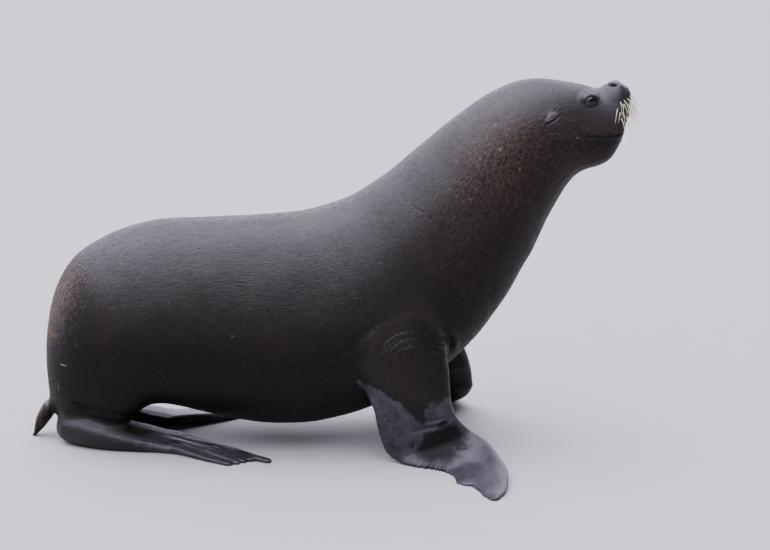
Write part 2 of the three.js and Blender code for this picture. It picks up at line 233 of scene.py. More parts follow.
def weigh(ob, name, weights):
    """A vertex group that holds the weights, in steps of one level."""
    group = ob.vertex_groups.new(name=name)
    level = np.round(weights * LEVELS).astype(int)
    for step in np.unique(level):
        group.add(np.flatnonzero(level == step).tolist(), step / LEVELS, "REPLACE")
    return group.name


share = per_part(SHARE, 1.0)[grid_part]
on_neck = belonging(("neck", "head", "lower_jaw"), grid_part) > 0
neck_x = coordinates(skin.data)[on_neck, 0] * MM - NECK_ZERO
share[on_neck] = np.exp(np.interp(neck_x, NECK_X, np.log(NECK_SHARE)))
share = np.exp(blurred(np.log(share), edges_of(skin.data), SHARE_BLUR))
softness = weigh(skin, "softness", share)
modify(skin, "SMOOTH", factor=1.0, iterations=ROUNDS, vertex_group=softness)
applied(skin)
print("smoothed", ROUNDS, "rounds")

# %% [markdown]
# ## Fewer triangles where the form is plain
# An even grid wastes its points on the flanks. The Decimate modifier removes those that matter
# least, and a vertex group of ones and noughts limits each pass to part of the body: first the
# trunk, then the limbs. The head keeps every point for now.

# %% Thinning the trunk and the limbs
LIMBS = ("foreleg", "fore_flipper", "hind_leg", "hind_flipper", "tail")
FACE = ("head", "lower_jaw", "nose", "ear")
KEEP = {"trunk": 0.044, "limbs": 0.197}

in_face = belonging(FACE, grid_part)
in_limbs = belonging(LIMBS, grid_part)
weights = {"trunk": 1 - in_face - in_limbs, "limbs": in_limbs}
modify(skin, "TRIANGULATE")
applied(skin)
for part, keep in KEEP.items():
    if part == "limbs":
        weights[part] = belonging(LIMBS, parts_under(coordinates(skin.data)))
    skin.vertex_groups.clear()
    group = weigh(skin, part, weights[part].astype(float))
    touched = weights[part].mean()
    modify(skin, "DECIMATE", ratio=1 - touched * (1 - keep), vertex_group=group)
    applied(skin)
    print(part, "thinned: the skin has", len(skin.data.polygons), "triangles")

# %% [markdown]
# ## Folds
# Loose skin gathers where a limb bends. A fold is a groove with a soft roll on each side. Each
# one is a short line laid on the skin, and a point moves in or out by its distance from that
# line. The same grooves could be painted as bump, but then they would vanish from the outline
# and cast no shadow. The folds at the elbow, wrist and shoulder are given on the right side, and
# those of the trunk are mirrored to the left.

# %% Where the folds lie, and how far a point is from one
NECK_CREASE = ((199, -131, 768), (214, -143, 760), (230, -154, 751), (246, -164, 741),
               (264, -174, 730), (282, -182, 718), (301, -188, 705), (318, -193, 693))
FOLDS = (  # points on the skin, half width, depth, both sides
    (((317, -201, 381), (339, -181, 355), (351, -164, 332), (347, -133, 288)), 9, 8.0, False),
    (((-30, -238, 300), (4, -238, 307), (40, -237, 331), (77, -235, 365), (121, -233, 407),
      (158, -230, 450)), 8, 3.0, True),
    (((120, -250, 305), (135, -251, 335), (150, -244, 367), (179, -243, 387), (217, -244, 400),
      (252, -242, 396)), 3.4, 1.0, False),
    (((128, -251, 318), (150, -249, 345), (182, -246, 374), (222, -247, 389)), 3.0, 0.7, False),
    (((136, -256, 295), (147, -256, 319), (165, -253, 348), (194, -251, 372), (229, -249, 380),
      (264, -248, 374)), 3.4, 1.1, False),
    (((170, -253, 318), (190, -251, 345), (225, -250, 356), (258, -248, 350)), 3.2, 0.9, False),
    (((205, -252, 318), (228, -251, 333), (256, -249, 330)), 3.0, 0.7, False),
    (((290, -240, 372), (308, -232, 358), (330, -210, 345)), 4, 2.4, False),
    (((285, -243, 352), (305, -236, 340), (330, -214, 326)), 4, 2.2, False),
    (((280, -246, 333), (303, -239, 322), (334, -216, 306)), 4, 1.8, False),
    (((250, -285, 160), (264, -285, 168), (302, -281, 174), (340, -265, 176)), 5, 1.8, False),
    (((240, -286, 118), (265, -286, 130), (304, -285, 137), (352, -266, 147)), 5, 3.4, False),
    (((225, -284, 96), (248, -286, 109), (304, -285, 118), (356, -273, 133)), 6, 3.8, False),
    (((181, -279, 130), (179, -277, 80), (181, -274, 38)), 5, 1.5, False),
    (NECK_CREASE, 3.2, 0.9, True),
    (((-800, -115, 120), (-772, -133, 138), (-728, -155, 129), (-678, -177, 120),
      (-637, -169, 108), (-603, -134, 94)), 8, 8.0, True),
    (((-601, -145, 101), (-575, -132, 128), (-541, -167, 167)), 8, 3.5, True),
    (((-470, -160, 32), (-442, -182, 29), (-373, -230, 19), (-290, -284, 8)), 5, 4.5, True),
)
LONGEST = 60.0  # how long an edge may be where the form is plain


def smooth_step(low, high, value):
    """0 below low, 1 above high, and a soft curve between."""
    share = np.clip((value - low) / (high - low), 0, 1)
    return share * share * (3 - 2 * share)


def lengths(vectors):
    """The length of each vector."""
    return np.sqrt((vectors**2).sum(-1))


def share_along(co, start, end):
    """How far along a step each point lies: nought at its start, one at its end."""
    step = end - start
    return (co - start) @ step / (step @ step)


def from_line(co, line):
    """How far each point is from a line of points, and its share of the way along."""
    nearest = np.full(len(co), np.inf)
    where = np.zeros(len(co))
    for k in range(len(line) - 1):
        share = np.clip(share_along(co, line[k], line[k + 1]), 0, 1)
        gap = lengths(co - line[k] - share[:, None] * (line[k + 1] - line[k]))
        where = np.where(gap < nearest, (k + share) / (len(line) - 1), where)
        nearest = np.minimum(gap, nearest)
    return nearest, where


def on_each_side(folds):
    """Each fold's line on each side that has it, with its half width and depth."""
    both_sides = []
    for line, half_width, depth, both in folds:
        for side in (1, -1) if both else (1,):
            both_sides.append((np.array(line, float) * (1, side, 1), half_width, depth))
    return both_sides


def near_folds(co, folds):
    """The longest edge that a place may have so that its folds stay smooth."""
    limit = np.full(len(co), LONGEST)
    for line, half_width, _ in on_each_side(folds):
        near = from_line(co, line)[0] < 3.2 * half_width
        limit[near] = np.minimum(limit[near], 1.1 * half_width)
    return limit


print(len(on_each_side(FOLDS)), "folds")

# %% [markdown]
# ## Finer triangles where the face needs them
# Lids, nostrils and lips are a few millimetres wide, so their triangles have to be about one.
# A subdivision modifier would split every triangle of the skin. Here only an edge that is too
# long for its place is split, and its middle is put on the curve that the normals at its two
# ends suggest, so the skin stays round instead of faceted. From here on the skin is a pair of
# arrays, points in the drawing's millimetres and triangles, as whole-array sums are fast.

# %% Splitting only the edges that are too long
SPLITS = 3  # each halves the edges that are still too long
MOUTH = np.array(((905, 956), (868, 950), (838, 942), (800, 938.5), (765, 940), (728, 945.0)))
NOSTRIL = np.array((817.0, 21.0, 1081.0))
HAND_EDGE = np.array(((176, -270, 6), (222, -306, 2), (272, -324, 2), (316, -346, 2),
                      (358, -466, 2), (408, -510, 2.0)))  # the fore flipper's trailing edge


def normals_of(co, tri):
    """The unit normal at each point, from its triangles by area."""
    facing = np.cross(co[tri[:, 1]] - co[tri[:, 0]], co[tri[:, 2]] - co[tri[:, 0]])
    summed = [np.bincount(tri.ravel(), np.repeat(facing[:, k], 3), len(co)) for k in range(3)]
    normal = np.stack(summed, 1)
    return normal / np.maximum(lengths(normal), 1e-12)[:, None]


def edge_list(tri, count):
    """Each edge once, and for each side of each triangle the number of its edge."""
    ends = np.sort(tri[:, [0, 1, 1, 2, 2, 0]].reshape(-1, 2), 1).astype(np.int64)
    key, which = np.unique(ends[:, 0] * count + ends[:, 1], return_inverse=True)
    return np.stack([key // count, key % count], 1), which.reshape(-1, 3)


def split_long(co, tri, limit):
    """Splits each edge that is longer than the limit at its ends, once."""
    edges, side = edge_list(tri, len(co))
    first, second = edges.T
    step = co[second] - co[first]
    long = lengths(step) > np.minimum(limit[first], limit[second])
    normal = normals_of(co, tri)
    rise = (step * (normal[second] - normal[first])).sum(1)
    bend = rise[:, None] * (normal[first] + normal[second]) / 16
    added = ((co[first] + co[second]) / 2 + bend)[long]
    middle = np.full(len(edges), -1)
    middle[long] = len(co) + np.arange(long.sum())
    mids = middle[side]
    cuts = (mids >= 0).sum(1)
    made = [tri[cuts == 0]]
    for turn in range(3):
        a, b, c = np.roll(tri, -turn, 1).T
        ab, bc, ca = np.roll(mids, -turn, 1).T
        one = (cuts == 1) & (ab >= 0)
        two = (cuts == 2) & (ca < 0)
        made += [np.stack([a, ab, c], 1)[one], np.stack([ab, b, c], 1)[one]]
        made += [np.stack([ab, b, bc], 1)[two], np.stack([a, ab, c], 1)[two]]
        made.append(np.stack([ab, bc, c], 1)[two])
        if turn == 0:
            three = cuts == 3
            made += [np.stack(s, 1)[three] for s in ((a, ab, ca), (ab, b, bc), (ca, bc, c))]
            made.append(np.stack([ab, bc, ca], 1)[three])
    return np.concatenate([co, added]), np.concatenate(made)


def from_mouth(co):
    """Height above the line of the mouth, and how far back from its corner."""
    height = co[:, 2] - np.interp(-co[:, 0], -MOUTH[:, 0], MOUTH[:, 1])
    return height, MOUTH[-1, 0] - co[:, 0]


def side_of(co):
    """Factors that carry each point to the left side, and back again."""
    return np.stack([np.ones(len(co)), np.sign(co[:, 1]), np.ones(len(co))], 1)


def edge_limit(co):
    """The longest edge that a place may have."""
    left = co * side_of(co)
    height, behind = from_mouth(co)
    limit = np.full(len(co), LONGEST)
    limit[(co[:, 0] > 700) & (co[:, 2] > 925)] = 4.2  # the face
    limit[(np.abs(height) < 9) & (behind < 12)] = 2.2  # the lips
    limit[lengths(left - NOSTRIL) < 26] = 2.0
    limit[lengths(left - EYE) < 48] = 2.6  # the skin round the eye
    limit[lengths(left - EYE) < 36] = 1.4  # the lids
    limit[from_line(co, HAND_EDGE)[0] < 14] = 3.4
    return limit


points = drawn(coordinates(skin.data))
triangles = np.empty(len(skin.data.polygons) * 3, np.int32)
skin.data.polygons.foreach_get("vertices", triangles)
triangles = triangles.reshape(-1, 3).astype(np.int64)
for _ in range(SPLITS):
    limit = np.minimum(edge_limit(points), near_folds(points, FOLDS))
    points, triangles = split_long(points, triangles, limit)
print("after splitting:", len(points), "points and", len(triangles), "triangles")

# %% [markdown]
# ## The lie of the body
# Hair, creases and streaks all run along the body: from the nose to the tail on the trunk, and
# from the shoulder to the tip on a limb. So each has a spine, a line of stations, and every
# point of the skin is told how far along its spine it lies, how far across and how far out. A
# limb's station is its leading and trailing edge, so that "across" follows the blade's width.

# %% Spines and straightened coordinates
TRUNK = (
    (912, 1058), (850, 1034), (783, 1000), (680, 972), (556, 905), (422, 739), (248, 527),
    (60, 415), (-160, 371), (-412, 365), (-600, 325), (-700, 225), (-745, 100), (-790, 20),
)  # fmt: skip
ARM_RIGHT = (
    (296, 136, 470, 110, 136, 470), (342, 211, 304, 50, 208, 296), (348, 232, 236, 72, 231, 230),
    (351, 244, 186, 98, 246, 174), (364, 252, 142, 119, 254, 126), (388, 256, 120, 129, 260, 84),
    (414, 262, 101, 146, 262, 30), (439, 275, 86, 176, 270, 6), (464, 300, 69, 222, 306, 2),
    (481, 335, 54, 272, 324, 2), (495, 370, 43, 316, 346, 2), (509, 445, 26, 358, 466, 2),
    (502, 520, 14, 408, 510, 2), (478, 584, 7, 438, 590, 4),
)  # fmt: skip
ARM_LEFT = (
    (300, 136, 470, 110, 136, 470), (368, 216, 305, 80, 208, 298), (402, 240, 226, 112, 234, 222),
    (426, 254, 160, 150, 248, 150), (436, 266, 108, 186, 258, 90), (430, 282, 66, 206, 274, 36),
    (412, 314, 38, 206, 302, 10), (394, 356, 27, 198, 340, 6), (376, 404, 22, 190, 380, 6),
    (338, 494, 16, 184, 470, 6), (291, 562, 10, 204, 540, 6), (265, 595, 8, 210, 581, 6),
)  # fmt: skip
LEG = (
    (-806, 24, 54, -806, 122, 42), (-645, 26, 47, -645, 178, 27), (-500, 50, 26, -490, 190, 12),
    (-365, 110, 11, -350, 262, 7), (-215, 235, 7, -290, 285, 6),
)  # fmt: skip


def spine(stations, side):
    """A spine's centres, its unit directions across, its half widths and its length so far."""
    ends = np.array(stations, float).reshape(len(stations), 2, 3)
    ends[:, :, 1] *= side
    middle = ends.mean(1)
    across = ends[:, 0] - ends[:, 1]
    half = lengths(across) / 2
    run = np.concatenate([[0], np.cumsum(lengths(np.diff(middle, axis=0)))])
    return middle, across / half[:, None] / 2, half, run


SPINES = {
    "trunk": spine([(x, 200, z, x, -200, z) for x, z in TRUNK], 1),
    "arm_right": spine(ARM_RIGHT, -1),
    "arm_left": spine(ARM_LEFT, 1),
    "leg_right": spine(LEG, -1),
    "leg_left": spine(LEG, 1),
}


def follow(co, name):
    """Each point's straight coordinates on a spine, and the spine's directions and half width."""
    middle, across, half, run = SPINES[name]
    nearest = np.full(len(co), np.inf)
    straight = np.zeros((len(co), 3))
    ahead = np.zeros((len(co), 3))
    sideways = np.zeros((len(co), 3))
    breadth = np.zeros(len(co))
    heading = np.gradient(middle, run, axis=0)
    for k in range(len(run) - 1):
        step = middle[k + 1] - middle[k]
        share = np.clip(share_along(co, middle[k], middle[k + 1]), 0, 1)[:, None]
        gap = co - middle[k] - share * step
        closer = lengths(gap) < nearest
        nearest = np.where(closer, lengths(gap), nearest)
        along = (1 - share) * heading[k] + share * heading[k + 1]
        along /= lengths(along)[:, None]
        wide = (1 - share) * across[k] + share * across[k + 1]
        wide -= (wide * along).sum(1)[:, None] * along
        wide /= lengths(wide)[:, None]
        out = np.cross(wide, along)
        local = np.stack([run[k] + (run[k + 1] - run[k]) * share[:, 0],
                          (gap * wide).sum(1), (gap * out).sum(1)], 1)
        straight[closer] = local[closer]
        ahead[closer] = along[closer]
        sideways[closer] = wide[closer]
        breadth[closer] = ((1 - share[:, 0]) * half[k] + share[:, 0] * half[k + 1])[closer]
    return straight, ahead, breadth, sideways


def on_spine(part):
    """The spine that a solid follows."""
    side = "_left" if part.endswith("left") else "_right"
    if part.startswith("fore"):
        return "arm" + side
    return "leg" + side if part.startswith("hind") else "trunk"


part_of = parts_under(metres(points))
skin_edges, _ = edge_list(triangles, len(points))
spine_names = list(SPINES)
spine_of = np.array([spine_names.index(on_spine(part)) for part in PARTS])[part_of]
followed = {name: follow(points, name) for name in spine_names}
for values in followed["trunk"][:2]:  # the spine's corners would show as edges in the fur's grain
    for axis in range(3):
        values[:, axis] = blurred(values[:, axis], skin_edges, 150)
belongs = {}
for number, name in enumerate(spine_names):
    belongs[name] = blurred((spine_of == number).astype(float), skin_edges, 12)
print("points on each spine:", dict(zip(spine_names, np.bincount(spine_of).tolist())))

# %% [markdown]
# ## Room for the coat, and a body that isn't a lathe's
# The solids are the size of the animal with its coat on, so the skin draws in by the coat's
# depth: 3 mm on the trunk and almost nothing on the bare flippers. Blubber also rolls a little
# over the muscles. A sum of a few long waves, of about a hand's breadth each, breaks the even
# surface that the lofts leave, and it can't repeat, as the waves run in different directions.

# %% Drawing the skin in, and rolling the blubber
COAT_DEPTH = {
    "head": 1.4,
    "lower_jaw": 1.4,
    "nose": 0.4,
    "ear": 0.2,
    "neck": 2.4,
    "tail": 1.5,
    "foreleg": 1.8,
    "fore_flipper": 0.5,
    "hind_leg": 1.2,
    "hind_flipper": 0.3,
}
TRUNK_DEPTH = 3.0
ROLL = 1.6  # how high the waves stand
ROLL_SHARE = {  # of the waves' height, less than 1 where the skin is tight
    "head": 0.15,
    "nose": 0,
    "lower_jaw": 0.15,
    "ear": 0,
    "fore_flipper": 0,
    "hind": 0,
    "tail": 0,
    "foreleg": 0.4,
}
WAVES = 9
WAVE_LENGTH = (130.0, 380.0)

chance = np.random.default_rng(7)


def waves(co, count, shortest, longest):
    """A smooth field of about -1 to 1: long waves that run in different directions."""
    total = np.zeros(len(co))
    for _ in range(count):
        heading = chance.normal(size=3)
        heading *= 2 * math.pi / chance.uniform(shortest, longest) / lengths(heading)
        total += np.sin(co @ heading + chance.uniform(0, 2 * math.pi))
    return total / math.sqrt(count)


normal = normals_of(points, triangles)
depth = blurred(per_part(COAT_DEPTH, TRUNK_DEPTH)[part_of], skin_edges, 6) + SWELL * MM
depth *= smooth_step(2, 16, points[:, 2])
roll = ROLL * blurred(per_part(ROLL_SHARE, 1.0)[part_of], skin_edges, 20)
roll *= smooth_step(10, 60, points[:, 2])
points -= normal * (depth - roll * waves(points, WAVES, *WAVE_LENGTH))[:, None]
print("the skin lies", round(depth.min(), 1), "to", round(depth.max(), 1), "mm inside")

# %% [markdown]
# ## Fuller places, and the ragged edge of a flipper
# A few places are fuller than their solids: the throat, and the tail, which is a thick flap. The
# fore flipper's trailing edge is scalloped by wear and ends in a lobe and a notch before the tip.
# Points near the edge slide along the blade's width by a sum of those, which fades inwards, so
# that both faces of the blade move together. The bones of the toes raise low ridges.

# %% Fuller places, scallops and toes
THROAT = (9.0, (795, 0, 866), (62, 70, 42))  # how far it is filled out, its place and its reach
TAIL = np.array(((-850.0, 0.0, 112.0), (-914.0, 0.0, 9.0)))  # its root and its tip
TAIL_SWELL = 8.0
SCALLOP = 13.0  # from one scallop to the next along X
TOES = (-0.62, -0.22, 0.18, 0.56)  # shares of the half width, from the trailing to the leading edge
TOE_WIDTH = 0.13
TOE_RIDGES = {  # how far down the limb they start, and their height
    "arm_right": (470, 1.1),
    "arm_left": (450, 1.1),
    "leg_right": (190, 1.6),
    "leg_left": (190, 1.6),
}


def blobs(co, *places):
    """A soft patch at each place, on both sides of the body: its strength, centre and reach."""
    left = co * side_of(co)
    total = np.zeros(len(co))
    for strength, centre, reach in places:
        total += strength * np.exp(-(((left - centre) / reach) ** 2).sum(1))
    return total


def scallops(x):
    """How far the trailing edge stands out at each X."""
    size = 4 + 6 * smooth_step(210, 340, x)
    teeth = size * (np.abs(np.sin(math.pi * x / SCALLOP + 1.7 * np.sin(x / 17))) - 0.5)
    teeth *= smooth_step(178, 205, x) * smooth_step(352, 335, x)
    lobe = 8.0 * smooth_step(345, 362, x) * smooth_step(389, 384, x)
    return teeth + lobe - 13.0 * np.exp(-(((x - 394) / 7) ** 2))


tail = blurred(per_part({"tail": 1.0}, 0.0)[part_of], skin_edges, 5)
down_tail = np.clip(share_along(points, *TAIL), 0, 1)
tail_swell = TAIL_SWELL * tail * (1 - 1.3 * down_tail**4)
points += normal * (blobs(points, THROAT) + tail_swell)[:, None]
gap, _ = from_line(points, HAND_EDGE)
near_edge = np.exp(-((gap / 12) ** 2)) * (belongs["arm_right"] > 0.5)
points -= followed["arm_right"][3] * (near_edge * scallops(points[:, 0]))[:, None]
for name, (first, height) in TOE_RIDGES.items():
    straight, _, half, _ = followed[name]
    ridge = sum(np.exp(-(((straight[:, 1] / half - toe) / TOE_WIDTH) ** 2)) for toe in TOES)
    ridge *= smooth_step(first, first + 110, straight[:, 0]) * belongs[name]
    points += normal * (height * ridge)[:, None]
print("scalloped points:", int((near_edge > 0.5).sum()))

# %% [markdown]
# ## Pressing the folds in
# A fold's line is first moved onto the skin as it now lies. Each point then moves along its
# normal: in at the line, and out a little beside it, where the skin that the groove takes up
# has to go. The groove fades at its two ends, as a crease in soft skin does.

# %% Pressing the folds in
def fold(gap, where, half_width, depth):
    """How far a fold moves the skin out: a groove, with a roll on each side."""
    ends = smooth_step(0, 0.25, where) * smooth_step(1, 0.75, where)
    groove = np.exp(-((gap / half_width) ** 2))
    rolls = np.exp(-(((gap - 2.2 * half_width) / half_width) ** 2))
    return depth * (0.35 * rolls - groove) * (0.15 + 0.85 * ends)


def on_skin(tree, line):
    """Those points moved onto the nearest skin."""
    return np.array([tree.find_nearest(point)[0] for point in np.array(line, float).tolist()])


def folded(co, tri, folds):
    """The skin with each fold pressed in."""
    tree = BVHTree.FromPolygons(co.tolist(), tri.tolist())
    moved = np.zeros(len(co))
    for line, half_width, depth in on_each_side(folds):
        moved += fold(*from_line(co, on_skin(tree, line)), half_width, depth)
    return co + normals_of(co, tri) * moved[:, None]


points = folded(points, triangles, FOLDS)
print("folds pressed in;", len(triangles), "triangles")

# %% [markdown]
# ## The ears
# A sea lion's ear is a small leaf, rolled to a point at both ends. The solid's ear is longer
# than what shows, as its root lies under the fur, so the ear is drawn together and narrowed.
# The features of the face are all made like this: a small function of the distance from the
# feature's centre or line, which works on both sides at once, as if both were the left one.

# %% Slimming the ears
EAR = np.array(((652.0, 105.0, 1018.0), (611.0, 131.0, 991.0)))  # its base and its tip
EAR_KEEP = 0.52  # the share of its length that shows
BEHIND_FACE = 675  # the ears lie behind this X


def slim_ears(co):
    """The ears made shorter, and narrowed to a point at both ends."""
    side = side_of(co)
    base, tip = EAR
    share = share_along(co * side, base, tip)[:, None]
    off_axis = co * side - base - share * (tip - base)
    past_ends = (share - np.clip(share, 0, 1)) * (tip - base)
    near = smooth_step(17, 10, lengths(off_axis + past_ends))[:, None]
    narrow = 1 - 0.6 * smooth_step(0.2, 0.7, np.abs(share - 0.5))
    slim = base + (0.5 + EAR_KEEP * (share - 0.5)) * (tip - base) + off_axis * narrow
    return co + (slim * side - co) * near


points = slim_ears(points)
print("each ear shows", round(EAR_KEEP * float(lengths(EAR[1] - EAR[0]))), "mm of its length")

# %% [markdown]
# ## The lids
# The eyelids are part of the skin. Round the eye the skin stands 2 mm off the eyeball, and
# inside that ring it drops behind the ball, so the lids have an edge with thickness. The upper
# lid has a deep crease and a soft bag of skin over it, and the lower one hardly any. Lids could
# be pieces of their own, but then their rim would need hiding under the fur.

# %% The lids
LOOK = np.array((0.28, 0.95, 0.10))  # which way the left eye faces
OPENING = (14.8, 14.2)  # half the lids' opening, along and across
LID = 2.0
DROP = 3.0  # how far behind the ball's surface the skin goes inside the lids


def eye_place(co):
    """Mirrored to the left eye: height off its centre, and place along and across the opening."""
    look = LOOK / np.linalg.norm(LOOK)
    up = np.array((0.0, 0.0, 1.0))
    up = up - (up @ look) * look
    up /= np.linalg.norm(up)
    front = np.cross(look, up)
    front *= np.sign(front[0])
    from_eye = co * side_of(co) - EYE
    return from_eye @ look, from_eye @ front, from_eye @ up, look


def lidded(co):
    """The skin with lids round both eyes, and each point's ring: 1 at the lids' edge."""
    height, along, across, look = eye_place(co)
    out = np.sqrt((along * 0.92 / OPENING[0]) ** 2 + (across / OPENING[1]) ** 2)
    near = (height > -16) & (out < 4)
    flat = along**2 + across**2
    ball = EYE_RADIUS + np.interp(out, (0, 0.93, 1.03, 1.12, 1.3), (-DROP, -DROP, 1.4, LID, LID))
    over = np.sqrt(np.maximum(ball**2 - np.minimum(flat, (1.08 * OPENING[0]) ** 2), 1.0))
    upper = smooth_step(-0.3, 0.6, across / np.maximum(out * OPENING[1], 1))
    share = smooth_step(1.62 + 0.53 * upper, 1.22, out) * near
    shift = (over - height) * share
    crease = (0.3 + 1.1 * upper) * np.exp(-(((out - 1.62) / 0.13) ** 2))
    bag = (0.1 + 0.8 * upper) * np.exp(-(((out - 2.05) / 0.2) ** 2))
    hollow = 0.8 * upper * np.exp(-(((out - 2.6) / 0.35) ** 2))
    shift += (bag - crease - hollow) * near
    return co + look * side_of(co) * shift[:, None], np.where(near, out, 9.0)


points, lid_ring = lidded(points)
print("inside the lids:", int((lid_ring < 1).sum()), "points")

# %% [markdown]
# ## Nostrils, lips and the ears' edges
# The nostril is a slit that slants back and down, with a raised rim above it. The mouth is shut:
# a groove with a full lip over it and a thin one under it, which fades out at the corner. Below
# each ear a groove sets it off from the neck. All three are distances turned into a shift along
# the normal, with a bell curve for each rim and groove.

# %% Nostrils, lips and the ears' edges
NOSTRIL_AXES = np.array(((0.88, 0.47, 0.0), (-0.33, 0.62, -0.72), (-0.4, 0.6, 0.7)))
NOSTRIL_SIZE = (19.0, 8.5, 22.0)  # half the slit's length, its width and its reach inwards
NOSTRIL_DEPTH = 9.0
LIP_LINE = 2.8  # the depth of the groove between the lips
EAR_GROOVE = 4.5


def bump_at(value, centre, width):
    """A bell curve: 1 where the value is at the centre, and less to both sides."""
    return np.exp(-(((value - centre) / width) ** 2))


def around_nostril(co):
    """1 at a nostril's rim and less inside, and 1 above the slit and 0 below it."""
    from_slit = (co * side_of(co) - NOSTRIL) @ NOSTRIL_AXES.T
    return lengths(from_slit / NOSTRIL_SIZE), from_slit[:, 1] < 0


def around_ear(co):
    """How far each point is from the leaf's middle line, and whether it lies below that."""
    base, tip = EAR
    left = co * side_of(co)
    share = np.clip(share_along(left, base, tip), 0.25, 0.75)
    leaf = 1 - 0.6 * np.where(share < 0.35, (0.35 - share) / 0.35, (share - 0.35) / 0.65) ** 2
    off_axis = left - base - share[:, None] * (tip - base)
    return lengths(off_axis) / leaf, off_axis[:, 2] < 0


def lips(height):
    """How far the skin moves at each height off the line of the mouth."""
    full = 1.2 * bump_at(height, 7, 5) + 0.4 * bump_at(height, -7, 4)
    return full - LIP_LINE * bump_at(height, 0, 2.2) - 1.2 * bump_at(height, -17, 6)


nostril, above = around_nostril(points)
ear_gap, below = around_ear(points)
lip_height, lip_behind = from_mouth(points)
move = (0.3 + 1.7 * above) * bump_at(nostril, 1.6, 0.35)
move -= NOSTRIL_DEPTH * smooth_step(1.15, 0.2, nostril)
move += smooth_step(5, -45, lip_behind) * (points[:, 0] > 640) * lips(lip_height)
move -= EAR_GROOVE * bump_at(ear_gap, 14, 3) * (0.1 + 0.9 * below) * (points[:, 0] < BEHIND_FACE)
points = points + normals_of(points, triangles) * move[:, None]
points[:, 2] = np.maximum(points[:, 2], 0)
print("in the nostrils:", int((nostril < 1).sum()), "points")

# %% [markdown]
# ## Where the bare skin begins
# A sea lion's flippers are bare: the fur ends in a ragged line above the wrist, with a tongue of
# fur down the middle of the arm and an island of it on the back of the hand. The border is a
# field: how many millimetres each point lies inside it. A painted mask would fix the edge, but
# to a field of distances the material can add noise, which frays it.

# %% The border of the bare skin
NO_BORDER = 60.0  # the field's largest value, far from any border
WRIST = {"arm_right": (390, 0.0), "arm_left": (380, 60.0)}  # its place, and how much lower in front
LEG_BORDER = (250, 150)  # where a leg's border lies at the trailing edge, and how it slants


def border_on_arm(co, name):
    """Millimetres inside the border of an arm's bare skin; below nought there is fur."""
    straight, _, half, _ = followed[name]
    wrist_at, lower = WRIST[name]
    lead = np.clip(straight[:, 1] / half, -1.3, 1.3)
    top = 186 + 62 * smooth_step(-0.15, -1.0, lead) + 10 * smooth_step(0.5, 1.0, lead)
    top -= lower * smooth_step(0.0, 0.5, lead)
    tongue = 62 * np.exp(-(((lead - 0.08) / 0.17) ** 2))
    field = top - tongue - co[:, 2]
    wrist = straight[:, 0] - wrist_at
    island = 1.1 - np.sqrt(((wrist - 92) / 74) ** 2 + ((lead - 0.12) / 0.54) ** 2)
    field = np.where(wrist > 0, -30 * island, field)
    return np.where(straight[:, 2] * np.sign(field + 99) < -60, -NO_BORDER, field)


def border_on_leg(name):
    """The same for a leg, whose border slants across it."""
    straight, _, half, _ = followed[name]
    lead = np.clip(straight[:, 1] / half, -1.3, 1.3)
    field = straight[:, 0] - LEG_BORDER[0] - LEG_BORDER[1] * smooth_step(-0.4, 0.8, lead)
    return np.clip(field * 0.4, -NO_BORDER, NO_BORDER)


bare = np.full(len(points), -NO_BORDER)
for name in spine_names[1:]:
    border = border_on_arm(points, name) if name in WRIST else border_on_leg(name)
    bare = np.where(belongs[name] > 0.5, border, bare)
bare = blurred(bare, skin_edges, 4)
print("bare skin:", int((bare > 0).sum()), "points")

# %% [markdown]
# ## Rust, wear and leather
# The neck of a young male is flecked with rust brown, the rump is scuffed by rock, and the nose
# is leathery. Each is a field from 0 to about 1, made of soft patches, and the material breaks
# them up with noise. They are stored on the mesh as attributes, which the material reads, and
# the tufts of the coat take them from the place of their root. So skin and coat always carry
# the same markings.

# %% Rust, wear and leather
RUST = ((1.25, (520, 140, 850), (155, 120, 170)), (1.1, (690, 90, 890), (110, 80, 60)),
        (0.5, (380, 170, 640), (120, 90, 150)))  # strength, centre and reach in millimetres
WEAR_AND_SHEEN = ((1.0, (-855, 30, 450), (85, 180, 120)), (0.5, (-800, 120, 560), (80, 90, 70)),
        # the faint patch on the shoulder is pale scurf painted where the fur only has a soft sheen: a
        # painted highlight
        (0.1, (190, 250, 360), (70, 40, 45)))
NOSE = ((1.0, (846, 0, 1084), (34, 34, 16)), (0.6, (800, 50, 1030), (55, 60, 42)))
EAR_SKIN = 2.0  # nose-like values over one mean the ears' thin skin

rust = blobs(points, *RUST) + 1.1 * tail
wear_and_sheen = blobs(points, *WEAR_AND_SHEEN)
at_ear = points[:, 0] < BEHIND_FACE
nosy = np.maximum(blobs(points, *NOSE), EAR_SKIN * smooth_step(10.5, 7.5, ear_gap) * at_ear)
print("rust, wear and leather up to", [round(float(field.max()), 2) for field in (rust, wear_and_sheen, nosy)])

# %% [markdown]
# ## Painted shade, and where it is dark
# The rims of the lids, the nostrils and the front of the nose, the line of the mouth and under the
# upper lip, the crease on the neck, a ring round each ear, the whisker pads, the chin and throat
# and a band behind each eye are darkened with painted shade. The hind legs, the left arm towards
# its leading edge and the fur on the back of the right hand are darker as well. They are summed in
# one field, which darkens these places beyond the shade that the renderer finds by itself.

# %% Painted shade and the dark places
# painted shade: the front of the nose, the chin, the throat, the whisker pads and a band behind each
# eye; strength, centre and reach
SHADE_PATCHES = ((1.2, (849, 6, 1081), (8, 9, 6)), (0.75, (835, 0, 925), (75, 90, 34)),
        (0.4, (740, 0, 870), (90, 110, 45)), (1.0, (855, 45, 1003), (28, 34, 48)),
        (0.6, (719, 84, 1040), (15, 34, 20)))
CREASE_SHADE = 0.6


def shade_at_lips():
    """Painted shade along the line of the mouth and under the upper lip."""
    lip = 0.65 * bump_at(lip_height, 0, 4)
    under_lip = smooth_step(-30, -14, lip_height) * smooth_step(2, -3, lip_height)
    lip += 0.7 * under_lip * (points[:, 0] > 760)
    return lip * smooth_step(8, -20, lip_behind) * (points[:, 0] > 640)


